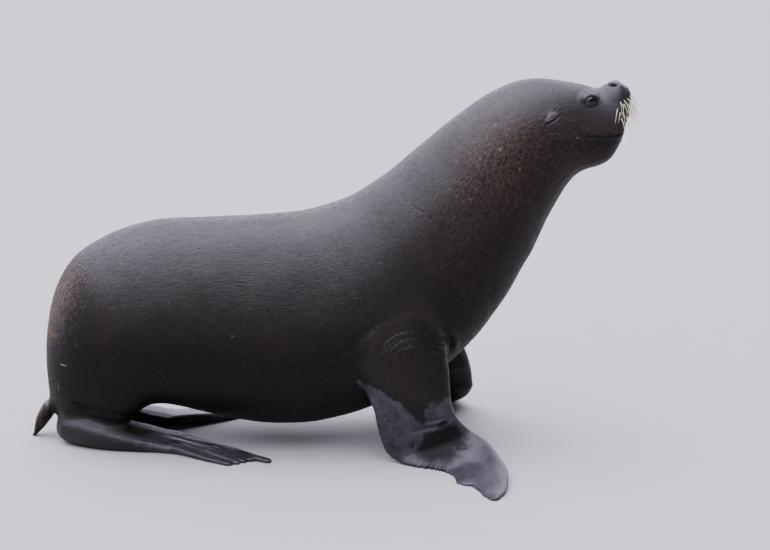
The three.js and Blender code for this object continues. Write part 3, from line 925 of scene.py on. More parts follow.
def shadow_round_ears():
    """Painted shadow in a ring round each ear, darker below it."""
    (base_x, _, base_z), (tip_x, _, tip_z) = EAR
    axis_height = base_z + (tip_z - base_z) * (base_x - points[:, 0]) / (base_x - tip_x)
    below_axis = 0.4 + 0.6 * smooth_step(4, -4, points[:, 2] - axis_height)
    return at_ear * below_axis * smooth_step(19, 14, ear_gap) * smooth_step(6, 10, ear_gap)


def shade_in_crease(tree):
    """Painted shade in the crease on the neck, which fades at its two ends."""
    on_right = points * side_of(points) * (1, -1, 1)
    gap, where = from_line(on_right, on_skin(tree, NECK_CREASE))
    ends = smooth_step(0, 0.2, where) * smooth_step(1, 0.8, where)
    return CREASE_SHADE * bump_at(gap, 0, 3) * ends


skin_tree = BVHTree.FromPolygons(points.tolist(), triangles.tolist())
arm_lead = followed["arm_left"][0][:, 1] / followed["arm_left"][2]
on_hand = smooth_step(400, 430, followed["arm_right"][0][:, 0]) * belongs["arm_right"]
on_legs = belongs["leg_right"] + belongs["leg_left"]
# painted shade at the lids' edge and round each eye, and in the nostrils
shade_and_dark = smooth_step(1.32, 1.04, lid_ring) + 0.35 * smooth_step(2.3, 1.3, lid_ring)
shade_and_dark += smooth_step(1.6, 1.0, nostril) + blobs(points, *SHADE_PATCHES)
shade_and_dark += shade_at_lips() + shadow_round_ears() + shade_in_crease(skin_tree) + 0.4 * on_legs
shade_and_dark += 0.55 * belongs["arm_left"] * smooth_step(0.1, 0.5, arm_lead)
shade_and_dark += 0.55 * on_hand * smooth_step(5, -15, bare)
shade_and_dark = np.clip(shade_and_dark, 0, 1)
print("dark skin:", round(float(shade_and_dark.mean()) * 100), "% of the points")

# %% [markdown]
# ## The underside: drained of water, and painted shade
# Water runs down and drips from the underside, so the fur there has lost its film and its
# sheen. How far the skin faces down says where, and there the fur's colour is also darkened as
# painted shade. The lower arms are rubbed dry and given painted shade as well.

# %% The underside
UNDERSIDE = (-0.45, 0.10)  # how far down the skin faces where the water starts to drain and the painted shade begins, and where the water is gone and the shade full
MUZZLE = (0.3, (800, 40, 1010), (90, 90, 60))  # the muzzle's side stays wet, with less painted shade

facing_down = blurred(-normals_of(points, triangles)[:, 2], skin_edges, 12) - blobs(points, MUZZLE)
rubbed_dry = 0.65 * (belongs["arm_right"] + belongs["arm_left"]) + 0.35 * on_hand
under = np.maximum(smooth_step(*UNDERSIDE, facing_down), rubbed_dry * smooth_step(10, -10, bare))
under *= 1 - 0.6 * on_legs
fields = {"bare": bare, "rust": rust, "wear_and_sheen": wear_and_sheen, "shade_and_dark": shade_and_dark, "nosy": nosy, "under": under}
for name, field in fields.items():
    print(name, "from", round(float(field.min()), 2), "to", round(float(field.max()), 2))

# %% [markdown]
# ## From arrays to a mesh, with an unwrap
# The arrays become a mesh, the fields become point attributes, and the straight coordinates go
# on the corners of the triangles, so that a triangle never spans two spines. The unwrap cuts the
# skin into pieces that each face one way and lays them flat side by side. The coat uses the same
# unwrap: a tuft's patch lies where its root is.

# %% The skin's mesh
UNWRAP = "OFBake"


def mesh_of(name, co, tri):
    """A smooth mesh of triangles from points in the drawing's millimetres."""
    mesh = bpy.data.meshes.new(name)
    mesh.vertices.add(len(co))
    mesh.vertices.foreach_set("co", metres(co).astype(np.float32).ravel())
    mesh.loops.add(tri.size)
    mesh.loops.foreach_set("vertex_index", tri.astype(np.int32).ravel())
    mesh.polygons.add(len(tri))
    mesh.polygons.foreach_set("loop_start", np.arange(0, tri.size, 3, dtype=np.int32))
    mesh.update(calc_edges=True)
    mesh.shade_smooth()
    return mesh


def attach(mesh, name, values, domain="POINT"):
    """Stores values on the mesh: a number, or three, for each point or corner."""
    kind, key = ("FLOAT", "value") if values.ndim == 1 else ("FLOAT_VECTOR", "vector")
    attribute = mesh.attributes.new(name, kind, domain)
    attribute.data.foreach_set(key, values.astype(np.float32).ravel())


def unwrapped(ob):
    """Unwraps the object by the way its faces look, and gives its corners' places."""
    bpy.context.view_layer.objects.active = ob
    ob.select_set(True)
    ob.data.uv_layers.new(name=UNWRAP)
    bpy.ops.object.mode_set(mode="EDIT")
    bpy.ops.mesh.select_all(action="SELECT")
    bpy.ops.uv.smart_project(angle_limit=math.radians(66), island_margin=0.002)
    bpy.ops.object.mode_set(mode="OBJECT")
    ob.select_set(False)
    flat = np.empty(len(ob.data.loops) * 2, np.float32)
    ob.data.uv_layers[UNWRAP].uv.foreach_get("vector", flat)
    return flat.reshape(-1, 3, 2)


skin.modifiers.clear()
skin.vertex_groups.clear()
skin.data = mesh_of("skin", points, triangles)
for name, field in fields.items():
    attach(skin.data, name, field)
by_spine = np.stack([followed[name][0] for name in spine_names])
corner_straight = by_spine[spine_of[triangles[:, 0]][:, None], triangles]
attach(skin.data, "straight", corner_straight.reshape(-1, 3), "CORNER")
skin_map = unwrapped(skin)
print("skin:", len(triangles), "triangles, unwrapped")

# %% [markdown]
# ## Adding shader nodes
# One function adds any node. Its sockets are filled in order or by name, each from a plain value
# or from another node, and it gives back the output to join on. Colours are written as sRGB hex,
# as a paint chart gives them, and Blender's shaders work in linear light, so one function turns
# them over. Two more functions join a few nodes at a time: one lays a colour over another where
# a pattern rises past a threshold, and one adds shares of several patterns.

# %% Adding nodes


def linear(code):
    """A colour such as "#1d1512", in the linear light that shaders use."""
    srgb = [int(code[k : k + 2], 16) / 255 for k in (1, 3, 5)]
    return [c / 12.92 if c <= 0.04045 else ((c + 0.055) / 1.055) ** 2.4 for c in srgb] + [1.0]


def add(tree, kind, values=(), out=None, **settings):
    """Adds a node with its settings and its sockets' values or links; gives its output."""
    node = tree.nodes.new("ShaderNode" + kind)
    for name, value in settings.items():
        setattr(node, name, value)
    live = [socket for socket in node.inputs if socket.enabled]
    if isinstance(values, dict):
        named = {socket.name: socket for socket in reversed(live)}
        live = [named[name] for name in values]
        values = values.values()
    for socket, value in zip(live, values):
        if isinstance(value, bpy.types.NodeSocket):
            tree.links.new(value, socket)
        else:
            socket.default_value = linear(value) if isinstance(value, str) else value
    return node.outputs[out] if out else next(s for s in node.outputs if s.enabled)


def laid_over(tree, under, over, pattern, low, high):
    """The colour over the one under it, where the pattern rises from low to high."""
    share = add(tree, "MapRange", (pattern, low, high))
    return add(tree, "Mix", (share, under, over), data_type="RGBA")


def together(tree, total, *shares):
    """A pattern with shares of others added to it."""
    for pattern, share in shares:
        total = add(tree, "Math", (pattern, share, total), operation="MULTIPLY_ADD")
    return total


def material(name):
    """An empty material, and its tree."""
    made = bpy.data.materials.new(name)
    made.use_nodes = True
    made.node_tree.nodes.clear()
    return made, made.node_tree


def finish(tree, surface):
    """Joins the shader to the material's output."""
    output = tree.nodes.new("ShaderNodeOutputMaterial")
    tree.links.new(surface, output.inputs["Surface"])


print("one linear colour:", [round(c, 4) for c in linear("#1d1512")])

# %% [markdown]
# ## The patterns of hair and skin
# Fur and bare skin are one material, as the border between them is ragged and has to be the same
# on the skin and on the tufts. So they share a set of patterns too. Plain noises give patches,
# lumps and grain. Others are drawn out along the straight coordinates, to the length and width of
# real locks, so that they run the way the hair lies. A picture of hair would look as real, but
# only in one light and at one distance.

# %% The patterns
PLAIN = {"broad": (140, 2), "patches": (34, 2), "lumps": (16, 3), "fine": (4, 3)}  # size, detail
LOCKS = {"streak": (28, 3.2, 0.0), "locks": (13, 4.5, 0.6)}  # length, width and distortion
CELLS = (22, 11)  # the length and width that one fleck can have
LEATHER_GRAIN = 3.0


def along_hair(tree, length, width):
    """The straight coordinates, scaled so that a pattern's size is that length and width."""
    straight = add(tree, "Attribute", out="Vector", attribute_name="straight")
    scale = (1 / length, 1 / width, 1 / width)
    return add(tree, "Mapping", {"Vector": straight, "Scale": scale})


def patterns(tree):
    """The fields, and the patterns that the hide's colours, sheen and relief share."""
    on = {key: add(tree, "Attribute", out="Fac", attribute_name=key) for key in fields}
    on["place"] = add(tree, "TexCoord", out="Object")
    for name, (size, detail) in PLAIN.items():
        on[name] = add(tree, "TexNoise", (on["place"], MM / size, detail), out="Fac")
    for name, (length, width, bend) in LOCKS.items():
        values = {"Vector": along_hair(tree, length, width), "Scale": 1, "Detail": 3, "Distortion": bend}
        on[name] = add(tree, "TexNoise", values, out="Fac")
    spread = along_hair(tree, *CELLS)
    on["cells"] = add(tree, "TexVoronoi", {"Vector": spread, "Scale": 1}, out="Distance")
    grain = {"Vector": on["place"], "Scale": MM / LEATHER_GRAIN}
    on["grain"] = add(tree, "TexVoronoi", grain, out="Distance")
    return on


print("pattern sizes in mm:", {name: size for name, (size, *_) in (PLAIN | LOCKS).items()})

# %% [markdown]
# ## Wet fur
# Wet sea lion fur is nearly black, with a brown cast where it is full. On a young male's neck it
# turns rust brown in clumps, with pale flecks at the tips of locks. Where rock has scuffed it,
# the dry undercoat shows, dull brown with grey scurf. Each colour is laid over the last one with
# a threshold on a pattern, as a painter would glaze it.

# %% The colours of wet fur


def flecks(tree, on):
    """Where single locks have a pale tip."""
    seeds = together(tree, on["cells"], (on["locks"], 0.9))
    spot = add(tree, "MapRange", (seeds, 0.66, 0.50))
    clumped = add(tree, "MapRange", (on["lumps"], 0.5, 0.58))
    return add(tree, "Math", (spot, clumped), operation="MULTIPLY")


def rubbed_fur(tree, on):
    """Where the coat is scuffed down to its undercoat, and faint pale specks on the shoulder that paint
    its sheen.
    """
    speckle = together(tree, on["wear_and_sheen"], (on["lumps"], 0.5), (on["locks"], 1.2))
    return add(tree, "MapRange", (speckle, 1.02, 1.50))


def wet_fur(tree, on):
    """The fur's colour, from the black of the back to the rust of the neck, with painted shade on the
    underside.
    """
    fur = laid_over(tree, "#1c130f", "#2a1c16", on["broad"], 0.35, 0.65)
    fur = laid_over(tree, fur, "#0e0a08", on["streak"], 0.35, 0.7)
    mottle = add(tree, "MapRange", (together(tree, on["locks"], (on["fine"], 0.4)), 0.62, 0.86))
    rusty = add(tree, "Math", (on["rust"], mottle), operation="MULTIPLY")
    fur = add(tree, "Mix", (rusty, fur, "#5a4136"), data_type="RGBA")
    flecked = add(tree, "MapRange", (on["rust"], 0.15, 0.5))
    fleck = add(tree, "Math", (on["flecks"], flecked), operation="MULTIPLY")
    fur = add(tree, "Mix", (fleck, fur, "#755548"), data_type="RGBA")
    scurf = laid_over(tree, "#452c20", "#6c625f", on["fine"], 0.42, 0.62)
    fur = add(tree, "Mix", (on["rubbed"], fur, scurf), data_type="RGBA")
    # painted shade: the fur is darkened towards black on the underside and the lower arms
    shaded_underneath = add(tree, "Mix", (0.7, fur, "#0c0705"), data_type="RGBA")
    return add(tree, "Mix", (on["under"], fur, shaded_underneath), data_type="RGBA")


print("linear rust:", [round(c, 4) for c in linear("#5a4136")])

# %% [markdown]
# ## Flipper leather, nose and ears
# The bare skin is blue-grey and leathery, in soft patches with paler grain. The nose is a little
# more violet, and the ears are thin skin through which the blood shows. The border with the fur
# is frayed by two patterns: broad patches, and streaks as fine as the locks.

# %% The colours of bare skin
FRAY = (("patches", 60.0), ("streak", 26.0))  # how many millimetres each pattern moves the border


def bald_skin(tree, on):
    """Where the skin is bare, with a frayed edge. A noise is 0.5 on average."""
    border = on["bare"]
    for pattern, reach in FRAY:
        border = together(tree, border, (add(tree, "Math", (on[pattern], -0.5)), reach))
    return add(tree, "MapRange", (border, -5.0, 5.0))


def leather(tree, on, fur):
    """The fur's colour with the bare skin, the nose and the ears laid over it."""
    skin_colour = laid_over(tree, "#252427", "#403d42", on["patches"], 0.3, 0.7)
    skin_colour = laid_over(tree, skin_colour, "#48474f", on["fine"], 0.55, 0.75)
    colour = add(tree, "Mix", (on["bald"], fur, skin_colour), data_type="RGBA")
    colour = add(tree, "Mix", (on["nosy"], colour, "#403c44"), data_type="RGBA")
    ear = laid_over(tree, "#453b3d", "#6a5d60", on["lumps"], 0.35, 0.65)
    return laid_over(tree, colour, ear, on["nosy"], 1.1, 1.8)


print("the border frays by up to", sum(reach for _, reach in FRAY) / 2, "mm")

# %% [markdown]
# ## Scars and scabs
# A wild animal carries marks: bites on the shoulder and neck, a scraped nose, and pale scars on
# the rump. Each is an ellipsoid in space, whose edge is frayed by the same patterns as the fur,
# so that it looks grown in and lies on the skin and the tufts alike.

# %% Scars and scabs
MARKS = (  # place, half sizes along X, Y and Z in millimetres, and colour
    ((-808, -142, 261), (15, 30, 2.6), "#8f8683"),
    ((-826, -119, 186), (2.4, 30, 24), "#6e5a50"),
    ((-296, -237, 377), (4, 9, 3), "#6d5e59"),
    ((-850, -80, 345), (40, 90, 13), "#5e3a22"),
    ((856, -15, 1076), (8, 8, 4.5), "#99654f"),
    ((862, -29, 1067), (5, 6, 3), "#75696c"),
    ((825, -70, 952), (12, 14, 4), "#5c3b2a"),
    ((710, -114, 943), (4, 8, 3.5), "#806456"),
    ((469, -121, 982), (8, 9, 4), "#8f5b45"),
    ((368, -127, 910), (6, 9, 4), "#8a5c47"),
    ((425, -154, 886), (5, 9, 4), "#8a5c47"),
    ((338, -168, 800), (7, 9, 4), "#8a5843"),
    ((483, -151, 915), (5, 9, 6), "#93664f"),
    ((541, -158, 857), (4, 9, 6), "#8a5c47"),
    ((396, -180, 773), (7, 9, 4), "#8a5843"),
)


def marked(tree, on, colour):
    """The colour with the scars and scabs laid over it."""
    for centre, size, tint in MARKS:
        size = np.array(size) / MM
        values = {"Vector": on["place"], "Location": -metres(centre) / size, "Scale": 1 / size}
        inside = add(tree, "Mapping", values)
        far = add(tree, "VectorMath", (inside,), out="Value", operation="LENGTH")
        far = together(tree, far, (on["fine"], 1.2), (on["locks"], 1.2))
        colour = laid_over(tree, colour, tint, far, 2.2, 1.5)
    return colour


print(len(MARKS), "scars and scabs")

# %% [markdown]
# ## The wet hide
# Wet fur is keratin under a film of water. Under water the dark brown hairs hardly reflect: the
# index of keratin, 1.55, over that of water, 1.33, leaves 1.18 for the base. Nearly all the
# sheen is the film's, which is the Principled shader's coat. It follows every lock, so it is
# rough. It is full on the back and thin on the underside, where the water has drained off. The
# grain of the leather is finer than a millimetre and wouldn't show, so it is drawn at 3 mm.

# %% The hide's material
KERATIN_IN_WATER = 1.18
FILM_IOR = 1.5
FILM_ROUGHNESS = 0.42
SKIN_RELIEF = 1.2  # millimetres


def shine(tree, on):
    """The roughness under the film."""
    uneven = add(tree, "MapRange", (on["lumps"], 0.3, 0.7))
    rough = add(tree, "Mix", (uneven, 0.40, 0.54))
    rough = add(tree, "Mix", (on["bald"], rough, 0.40))
    return add(tree, "Mix", (on["rubbed"], rough, 0.6))


def film(tree, on):
    """How much water lies on the surface: less on the underside and on rubbed fur."""
    full = add(tree, "Mix", (on["under"], 1.0, 0.12))
    uneven = add(tree, "Mix", (on["streak"], 1.15, 0.65))
    wet = add(tree, "Math", (full, uneven), operation="MULTIPLY")
    return add(tree, "Mix", (on["rubbed"], wet, 0.6))


def relief(tree, on, depth):
    """Locks and scurf on the fur, and grain on the bare skin, of that many millimetres."""
    scurfy = add(tree, "Math", (on["rubbed"], on["fine"]), operation="MULTIPLY")
    furry = together(tree, on["streak"], (on["locks"], 0.6), (on["flecks"], 0.6), (scurfy, 1.5))
    grained = add(tree, "Mix", (0.5, on["grain"], on["streak"]))
    grained = add(tree, "Mix", (0.5, grained, on["lumps"]))
    height = add(tree, "Mix", (on["bald"], furry, grained))
    return add(tree, "Bump", {"Height": height, "Distance": depth / MM, "Strength": 0.8})


def hide(name, depth):
    """Wet fur, bare flipper skin and nose leather, with a relief of that many millimetres."""
    made, tree = material(name)
    on = patterns(tree)
    on["flecks"] = flecks(tree, on)
    on["rubbed"] = rubbed_fur(tree, on)
    on["bald"] = bald_skin(tree, on)
    colour = marked(tree, on, leather(tree, on, wet_fur(tree, on)))
    # the painted shade and the darker skin, laid over every other colour
    colour = add(tree, "Mix", (on["shade_and_dark"], colour, "#0b0909"), data_type="RGBA")
    bump = relief(tree, on, depth)
    surface = {
        "Base Color": colour,
        "Roughness": shine(tree, on),
        "Normal": bump,
        "IOR": KERATIN_IN_WATER,
        "Coat Weight": film(tree, on),
        "Coat Roughness": FILM_ROUGHNESS,
        "Coat IOR": FILM_IOR,
        "Coat Normal": bump,
    }
    finish(tree, add(tree, "BsdfPrincipled", surface))
    return made


skin.data.materials.append(hide("wet_hide", SKIN_RELIEF))
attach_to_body(skin, "root")
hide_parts(*PARTS)
print("the hide has", len(skin.data.materials[0].node_tree.nodes), "nodes")

# %% [markdown]
# ## The coat's tufts
# Water gathers short fur into flat locks with pointed tips, like shingles. The bump carries most
# of that, but a bump has no outline, so the coat is also real: each lock is a thin blade of five
# triangles with a ridge down its middle. Its root is sunk in the skin and its tip lies back along
# the body. The number in a place goes with one over the lock's area, so that small locks on the
# face cover it as well as long ones cover the back. Hair particles would be simpler to make, but
# they aren't mesh. The blades are built as whole arrays, as a loop over them would take minutes.

# %% Where the tufts stand, how long they are and which way they lie
LOCK_LENGTH = {
    "head": 5.3,
    "lower_jaw": 5.3,
    "nose": 4.0,
    "ear": 3.0,
    "neck": 11.0,
    "tail": 8.0,
    "foreleg": 9.0,
    "fore_flipper": 7.0,
    "hind_leg": 8.0,
    "hind_flipper": 6.0,
}
TRUNK_LOCK = 13.0
LID_LOCK = 0.45  # how much shorter the locks are beside the eyes
SLENDER = 0.17  # a lock's width over its length
COVER = 0.8  # how much of the skin the locks would cover if none overlapped
COAT_PIECES = {
    "coat_head": ("head", "lower_jaw", "nose", "ear"),
    "coat_neck": ("neck",),
    "coat_chest": ("chest",),
    "coat_abdomen": ("abdomen",),
    "coat_rump": ("rump", "tail"),
    "coat_limbs": ("foreleg", "fore_flipper", "hind_leg", "hind_flipper"),
}

normal = normals_of(points, triangles)
lie = np.zeros_like(points)
for name in spine_names:
    lie += followed[name][1] * belongs[name][:, None]
lie -= normal * (lie * normal).sum(1)[:, None]
lie /= np.maximum(lengths(lie), 1e-6)[:, None]
lock = blurred(per_part(LOCK_LENGTH, TRUNK_LOCK)[part_of], skin_edges, 10)
lock *= 1 - LID_LOCK * smooth_step(4.0, 1.8, lid_ring) * (points[:, 0] > 690)
furred = smooth_step(3.0, -5.0, bare) * smooth_step(0.6, 0.2, shade_and_dark)
furred *= smooth_step(0.75, 0.35, nosy) * smooth_step(1.5, 5.0, points[:, 2])
furred *= np.maximum(smooth_step(9, 13, ear_gap), points[:, 0] > BEHIND_FACE)

facing = np.cross(points[triangles[:, 1]] - points[triangles[:, 0]],
                  points[triangles[:, 2]] - points[triangles[:, 0]])
area = lengths(facing) / 2
wanted = COVER * area * (furred / (SLENDER * lock**2))[triangles].mean(1)
roots = chance.poisson(wanted)
print("furred skin:", round(float((area * furred[triangles].mean(1)).sum() / 1e6), 2), "m2;",
      int(roots.sum()), "locks")

# %% [markdown]
# ## Blades for the tufts
# A tuft takes everything from its root: the place, the way the hair lies, the markings and the
# patch on the unwrap. These are blended from the three corners of the triangle it stands on. All
# tufts are the same six points, stretched, turned and curled by chance.

# %% Building the tufts as meshes
PATCH = 0.003  # how wide a tuft's patch is on the unwrap
BLADE = np.array(((1, 0, 2), (0, 3, 2), (1, 2, 4), (3, 5, 2), (2, 5, 4)))
ALONG = np.array((0.0, 0.0, 0.45, 0.4, 0.4, 1.0))
ACROSS = np.array((-0.32, 0.32, 0.0, -0.5, 0.5, 0.0))
RISE = np.array((-1.0, -1.0, 1.0, 0.15, 0.15, 0.45))
STRAY = 0.16  # how far a tuft turns from the way the hair lies
CURL = 0.6  # how far its tip turns aside, over its width
LIFT = 0.035  # its height over its length
LOCK_RELIEF = 0.6  # millimetres


def at_roots(values, faces, shares):
    """A value of the points, or of the corners, blended for each root."""
    corners_of = values if values.shape[:2] == triangles.shape else values[triangles]
    picked = corners_of[faces]
    return (picked * shares.reshape(shares.shape + (1,) * (picked.ndim - 2))).sum(1)


def tufts(name, parts):
    """The coat on those solids' skin, as one mesh."""
    mine = belonging(parts, part_of)[triangles[:, 0]] > 0
    faces = np.repeat(np.arange(len(triangles)), np.where(mine, roots, 0))
    shares = chance.dirichlet((1, 1, 1), len(faces))
    root = at_roots(points, faces, shares)
    up = at_roots(normal, faces, shares)
    up /= lengths(up)[:, None]
    ahead = at_roots(lie, faces, shares) + chance.normal(0, STRAY, (len(faces), 3))
    ahead -= up * (ahead * up).sum(1)[:, None]
    ahead /= np.maximum(lengths(ahead), 1e-6)[:, None]
    side = np.cross(up, ahead)
    long = at_roots(lock, faces, shares) * chance.uniform(0.7, 1.25, len(faces))
    wide = long * SLENDER * chance.uniform(0.75, 1.3, len(faces))
    rise = LIFT * long * chance.uniform(0.5, 1.5, len(faces))
    curl = np.stack([np.zeros(len(faces))] * 5 + [chance.normal(0, CURL, len(faces))], 1)
    along = long[:, None] * ALONG
    across = wide[:, None] * (ACROSS + curl)
    height = rise[:, None] * RISE
    co = root[:, None] + along[..., None] * ahead[:, None] + across[..., None] * side[:, None]
    co += height[..., None] * up[:, None]
    co[..., 2] = np.maximum(co[..., 2], 0.2)
    blades = (np.arange(len(faces))[:, None, None] * 6 + BLADE).reshape(-1, 3)
    mesh = mesh_of(name, co.reshape(-1, 3), blades)
    for key, field in fields.items():
        attach(mesh, key, np.repeat(at_roots(field, faces, shares), 6))
    own = np.stack([along, across, height], -1)
    straight = at_roots(corner_straight, faces, shares)[:, None] + own
    attach(mesh, "straight", straight.reshape(-1, 3)[blades].reshape(-1, 3), "CORNER")
    patch = at_roots(skin_map, faces, shares)[:, None] + PATCH * np.stack([ACROSS, ALONG - 0.5], 1)
    layer = mesh.uv_layers.new(name=UNWRAP)
    layer.uv.foreach_set("vector", patch.reshape(-1, 2)[blades].astype(np.float32).ravel())
    return mesh


fur = hide("wet_fur_locks", LOCK_RELIEF)
for name, parts in COAT_PIECES.items():
    coat = placed(name, tufts(name, parts))
    coat.data.materials.append(fur)
    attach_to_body(coat, "root")
    print(name, len(coat.data.polygons), "triangles")

# %% [markdown]
# ## The eyes
# A sea lion's eye is large, to see in dim water, and nearly all iris: dark brown round a black
# pupil, with a little of the white showing at the corners. The clear cornea bulges over the
# iris. The ball is turned on a lathe about the way it looks: rings of points whose distance from
# the centre grows by 1.3 mm over the cornea. The iris is drawn by the distance from the axis.

# %% Eyeballs
IRIS = 12.6
PUPIL = 6.0
CORNEA = 14.1
BULGE = 1.3
EYE_RINGS = 39
EYE_SPOKES = 56


def tube(rings, spokes):
    """The triangles of a row of rings, and of its two ends, whose points come last."""
    point = np.arange(rings * spokes).reshape(rings, spokes)
    beside = np.roll(point, -1, 1)
    near = (point[:-1].ravel(), beside[:-1].ravel())
    far = (point[1:].ravel(), beside[1:].ravel())
    end = np.full(spokes, rings * spokes)
    faces = [(near[0], near[1], far[0]), (near[1], far[1], far[0])]
    faces += [(beside[0], point[0], end), (point[-1], beside[-1], end + 1)]
    return np.concatenate([np.stack(face, 1) for face in faces])


def turned(side):
    """An eyeball's points and triangles, with each point's distance from its axis and angle."""
    look = LOOK / np.linalg.norm(LOOK) * (1, side, 1)
    first = np.cross(look, (0, 0, 1.0))
    first /= np.linalg.norm(first)
    second = np.cross(look, first)
    turn, angle = np.meshgrid(np.linspace(0, math.pi, EYE_RINGS + 2)[1:-1],
                              np.arange(EYE_SPOKES) * 2 * math.pi / EYE_SPOKES, indexing="ij")
    out = EYE_RADIUS * np.sin(turn)
    cap = np.clip(1 - (out / CORNEA) ** 2, 0, 1) * (turn < math.pi / 2)
    around = np.cos(angle)[..., None] * first + np.sin(angle)[..., None] * second
    body = np.cos(turn)[..., None] * look + np.sin(turn)[..., None] * around
    co = ((EYE_RADIUS + BULGE * cap)[..., None] * body).reshape(-1, 3)
    co = np.concatenate([co, [look * (EYE_RADIUS + BULGE)], [look * -EYE_RADIUS]])
    faces = tube(EYE_RINGS, EYE_SPOKES)[:, ::-1]  # turned over, as the rings run from front to back
    distance = np.concatenate([out.ravel(), [0, 0]])
    distance[co @ look < 0] = EYE_RADIUS
    return co + EYE * (1, side, 1), faces, distance, np.concatenate([angle.ravel(), [0, 0]])


def wet_eye():
    """The eyeball: pupil, streaked iris, its dark rim and the white, under a wet cornea."""
    made, tree = material("wet_eyeball")
    out = add(tree, "Attribute", out="Fac", attribute_name="from_axis")
    around = add(tree, "Attribute", out="Fac", attribute_name="around")
    outwards = add(tree, "Math", (out, 0.12), operation="MULTIPLY")
    spread = add(tree, "CombineXYZ", (around, outwards))
    streaks = add(tree, "TexNoise", {"Vector": spread, "Scale": 9.0, "Detail": 3.0}, out="Fac")
    iris = laid_over(tree, "#150b08", "#2e1b11", streaks, 0.35, 0.65)
    iris = laid_over(tree, iris, "#0b0706", out, IRIS - 3.0, IRIS)
    colour = laid_over(tree, "#030303", iris, out, PUPIL - 0.5, PUPIL + 0.8)
    white = add(tree, "Mix", (streaks, "#6f6561", "#42363a"), data_type="RGBA")
    colour = laid_over(tree, colour, white, out, IRIS - 0.2, IRIS + 1.0)
    wet = {"Base Color": colour, "Roughness": 0.06, "IOR": 1.376, "Coat Weight": 0.1,
           "Coat Roughness": 0.03, "Coat IOR": 1.34}
    finish(tree, add(tree, "BsdfPrincipled", wet))
    return made


eyeball = wet_eye()
for word, side in (("left", 1), ("right", -1)):
    co, faces, distance, angle = turned(side)
    eye = placed("eyeball_" + word, mesh_of("eyeball_" + word, co, faces))
    attach(eye.data, "from_axis", distance)
    attach(eye.data, "around", angle)
    eye.data.materials.append(eyeball)
    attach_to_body(eye, "root")
    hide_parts("eye_" + word)
print("eyeballs:", len(eye.data.polygons), "triangles each")

# %% [markdown]
# ## Whiskers
# The whiskers are keratin, like nails: stiff and cream-coloured. They stand in rows on the pads
# of the upper lip and, wet, hang down in curves. They are drawn 2 to 4 mm thick at the root, so
# that they show. Each is a tube of shrinking rings that follows a curve from its root: straight
# out of the skin at first, then forward and down under its own weight. The roots are placed on
# the skin by the BVH tree.

# %% Whiskers
ROWS = 4
IN_ROW = 6
WHISKER_SIDES = 6
WHISKER_RINGS = 12
WHISKER_ROOT = 1.65
WHISKER_TIP = 0.35
SUNK = 3  # how deep its root sits in the skin
PAD = np.array((874, 22, 1058))  # the foremost root of the top row
PAD_BACK = np.array((-42, 46, -22))  # from there to the rearmost root
PAD_DOWN = np.array((0, 0, -15))  # from one row to the next


def whisker(root, out, forward, length, thick):
    """One whisker's points, and each point's share of its length."""
    share = np.linspace(0, 1, WHISKER_RINGS)[:, None]
    hang = np.array((0.0, 0.0, -1.0))
    path = root - out * SUNK + length * (
        out * 0.55 * share * (1 - 0.62 * share) + forward * 0.42 * share
        + hang * (0.35 * share + 0.42 * share**2)
    )
    along = np.gradient(path, axis=0)
    along /= lengths(along)[:, None]
    side = np.cross(along, (0.3, 1.0, 0.1))
    side /= lengths(side)[:, None]
    other = np.cross(along, side)
    angle = np.arange(WHISKER_SIDES) * 2 * math.pi / WHISKER_SIDES
    radius = (thick * (1 - share) + WHISKER_TIP * share)[..., None]
    co = path[:, None] + radius * (np.cos(angle)[:, None] * side[:, None]
                                   + np.sin(angle)[:, None] * other[:, None])
    co = np.concatenate([co.reshape(-1, 3), path[:1], path[-1:] + along[-1:] * 0.6])
    return co, np.concatenate([np.repeat(share.ravel(), WHISKER_SIDES), [0, 1]])


whisker_co, whisker_share = [], []
for side in (1, -1):
    for row in range(ROWS):
        for place in range(IN_ROW - (row in (0, ROWS - 1))):
            back = place / (IN_ROW - 1)
            start = (PAD + PAD_BACK * back + PAD_DOWN * row) * (1, side, 1)
            start = start + chance.normal(0, 2.2, 3)
            root, out, _, _ = skin_tree.find_nearest(start.tolist())
            forward = np.array((1.0 - 1.2 * back, side * 0.10, 0.0)) + chance.normal(0, 0.2, 3)
            length = (30 + 34 * math.sin(math.pi * (0.1 + 0.7 * back))) * chance.uniform(0.75, 1.3)
            thick = WHISKER_ROOT * (0.7 + 0.4 * back)
            co, along = whisker(np.array(root), np.array(out), forward, length, thick)
            whisker_co.append(co)
            whisker_share.append(along)
one = tube(WHISKER_RINGS, WHISKER_SIDES)
all_faces = [one + number * len(co) for number in range(len(whisker_co))]

whiskers = placed("whiskers", mesh_of(
    "whiskers", np.concatenate(whisker_co), np.concatenate(all_faces)))
attach(whiskers.data, "share", np.concatenate(whisker_share))
keratin, tree = material("cream_whisker_keratin")
share = add(tree, "Attribute", out="Fac", attribute_name="share")
mottle = add(tree, "TexNoise", (add(tree, "TexCoord", out="Object"), MM / 9), out="Fac")
colour = add(tree, "Mix", (mottle, "#dccb96", "#fbf0cd"), data_type="RGBA")
colour = laid_over(tree, "#6b5138", colour, share, 0.0, 0.14)
finish(tree, add(tree, "BsdfPrincipled", {"Base Color": colour, "Roughness": 0.35, "IOR": 1.55}))
whiskers.data.materials.append(keratin)

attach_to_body(whiskers, "root")
print("whiskers:", len(whisker_co), "with", len(whiskers.data.polygons), "triangles")

# %% [markdown]
# ## Nails
# The hind flippers have small nails on the middle toes, of the same keratin as the whiskers but
# grown thick and stained dark reddish brown. Their solids have the right shape, so they stay and
# only get a finish: stained in patches, with fine grooves that mark their growth.

# %% Nails
GROOVES = 3.0
GROOVE_DEPTH = 0.3

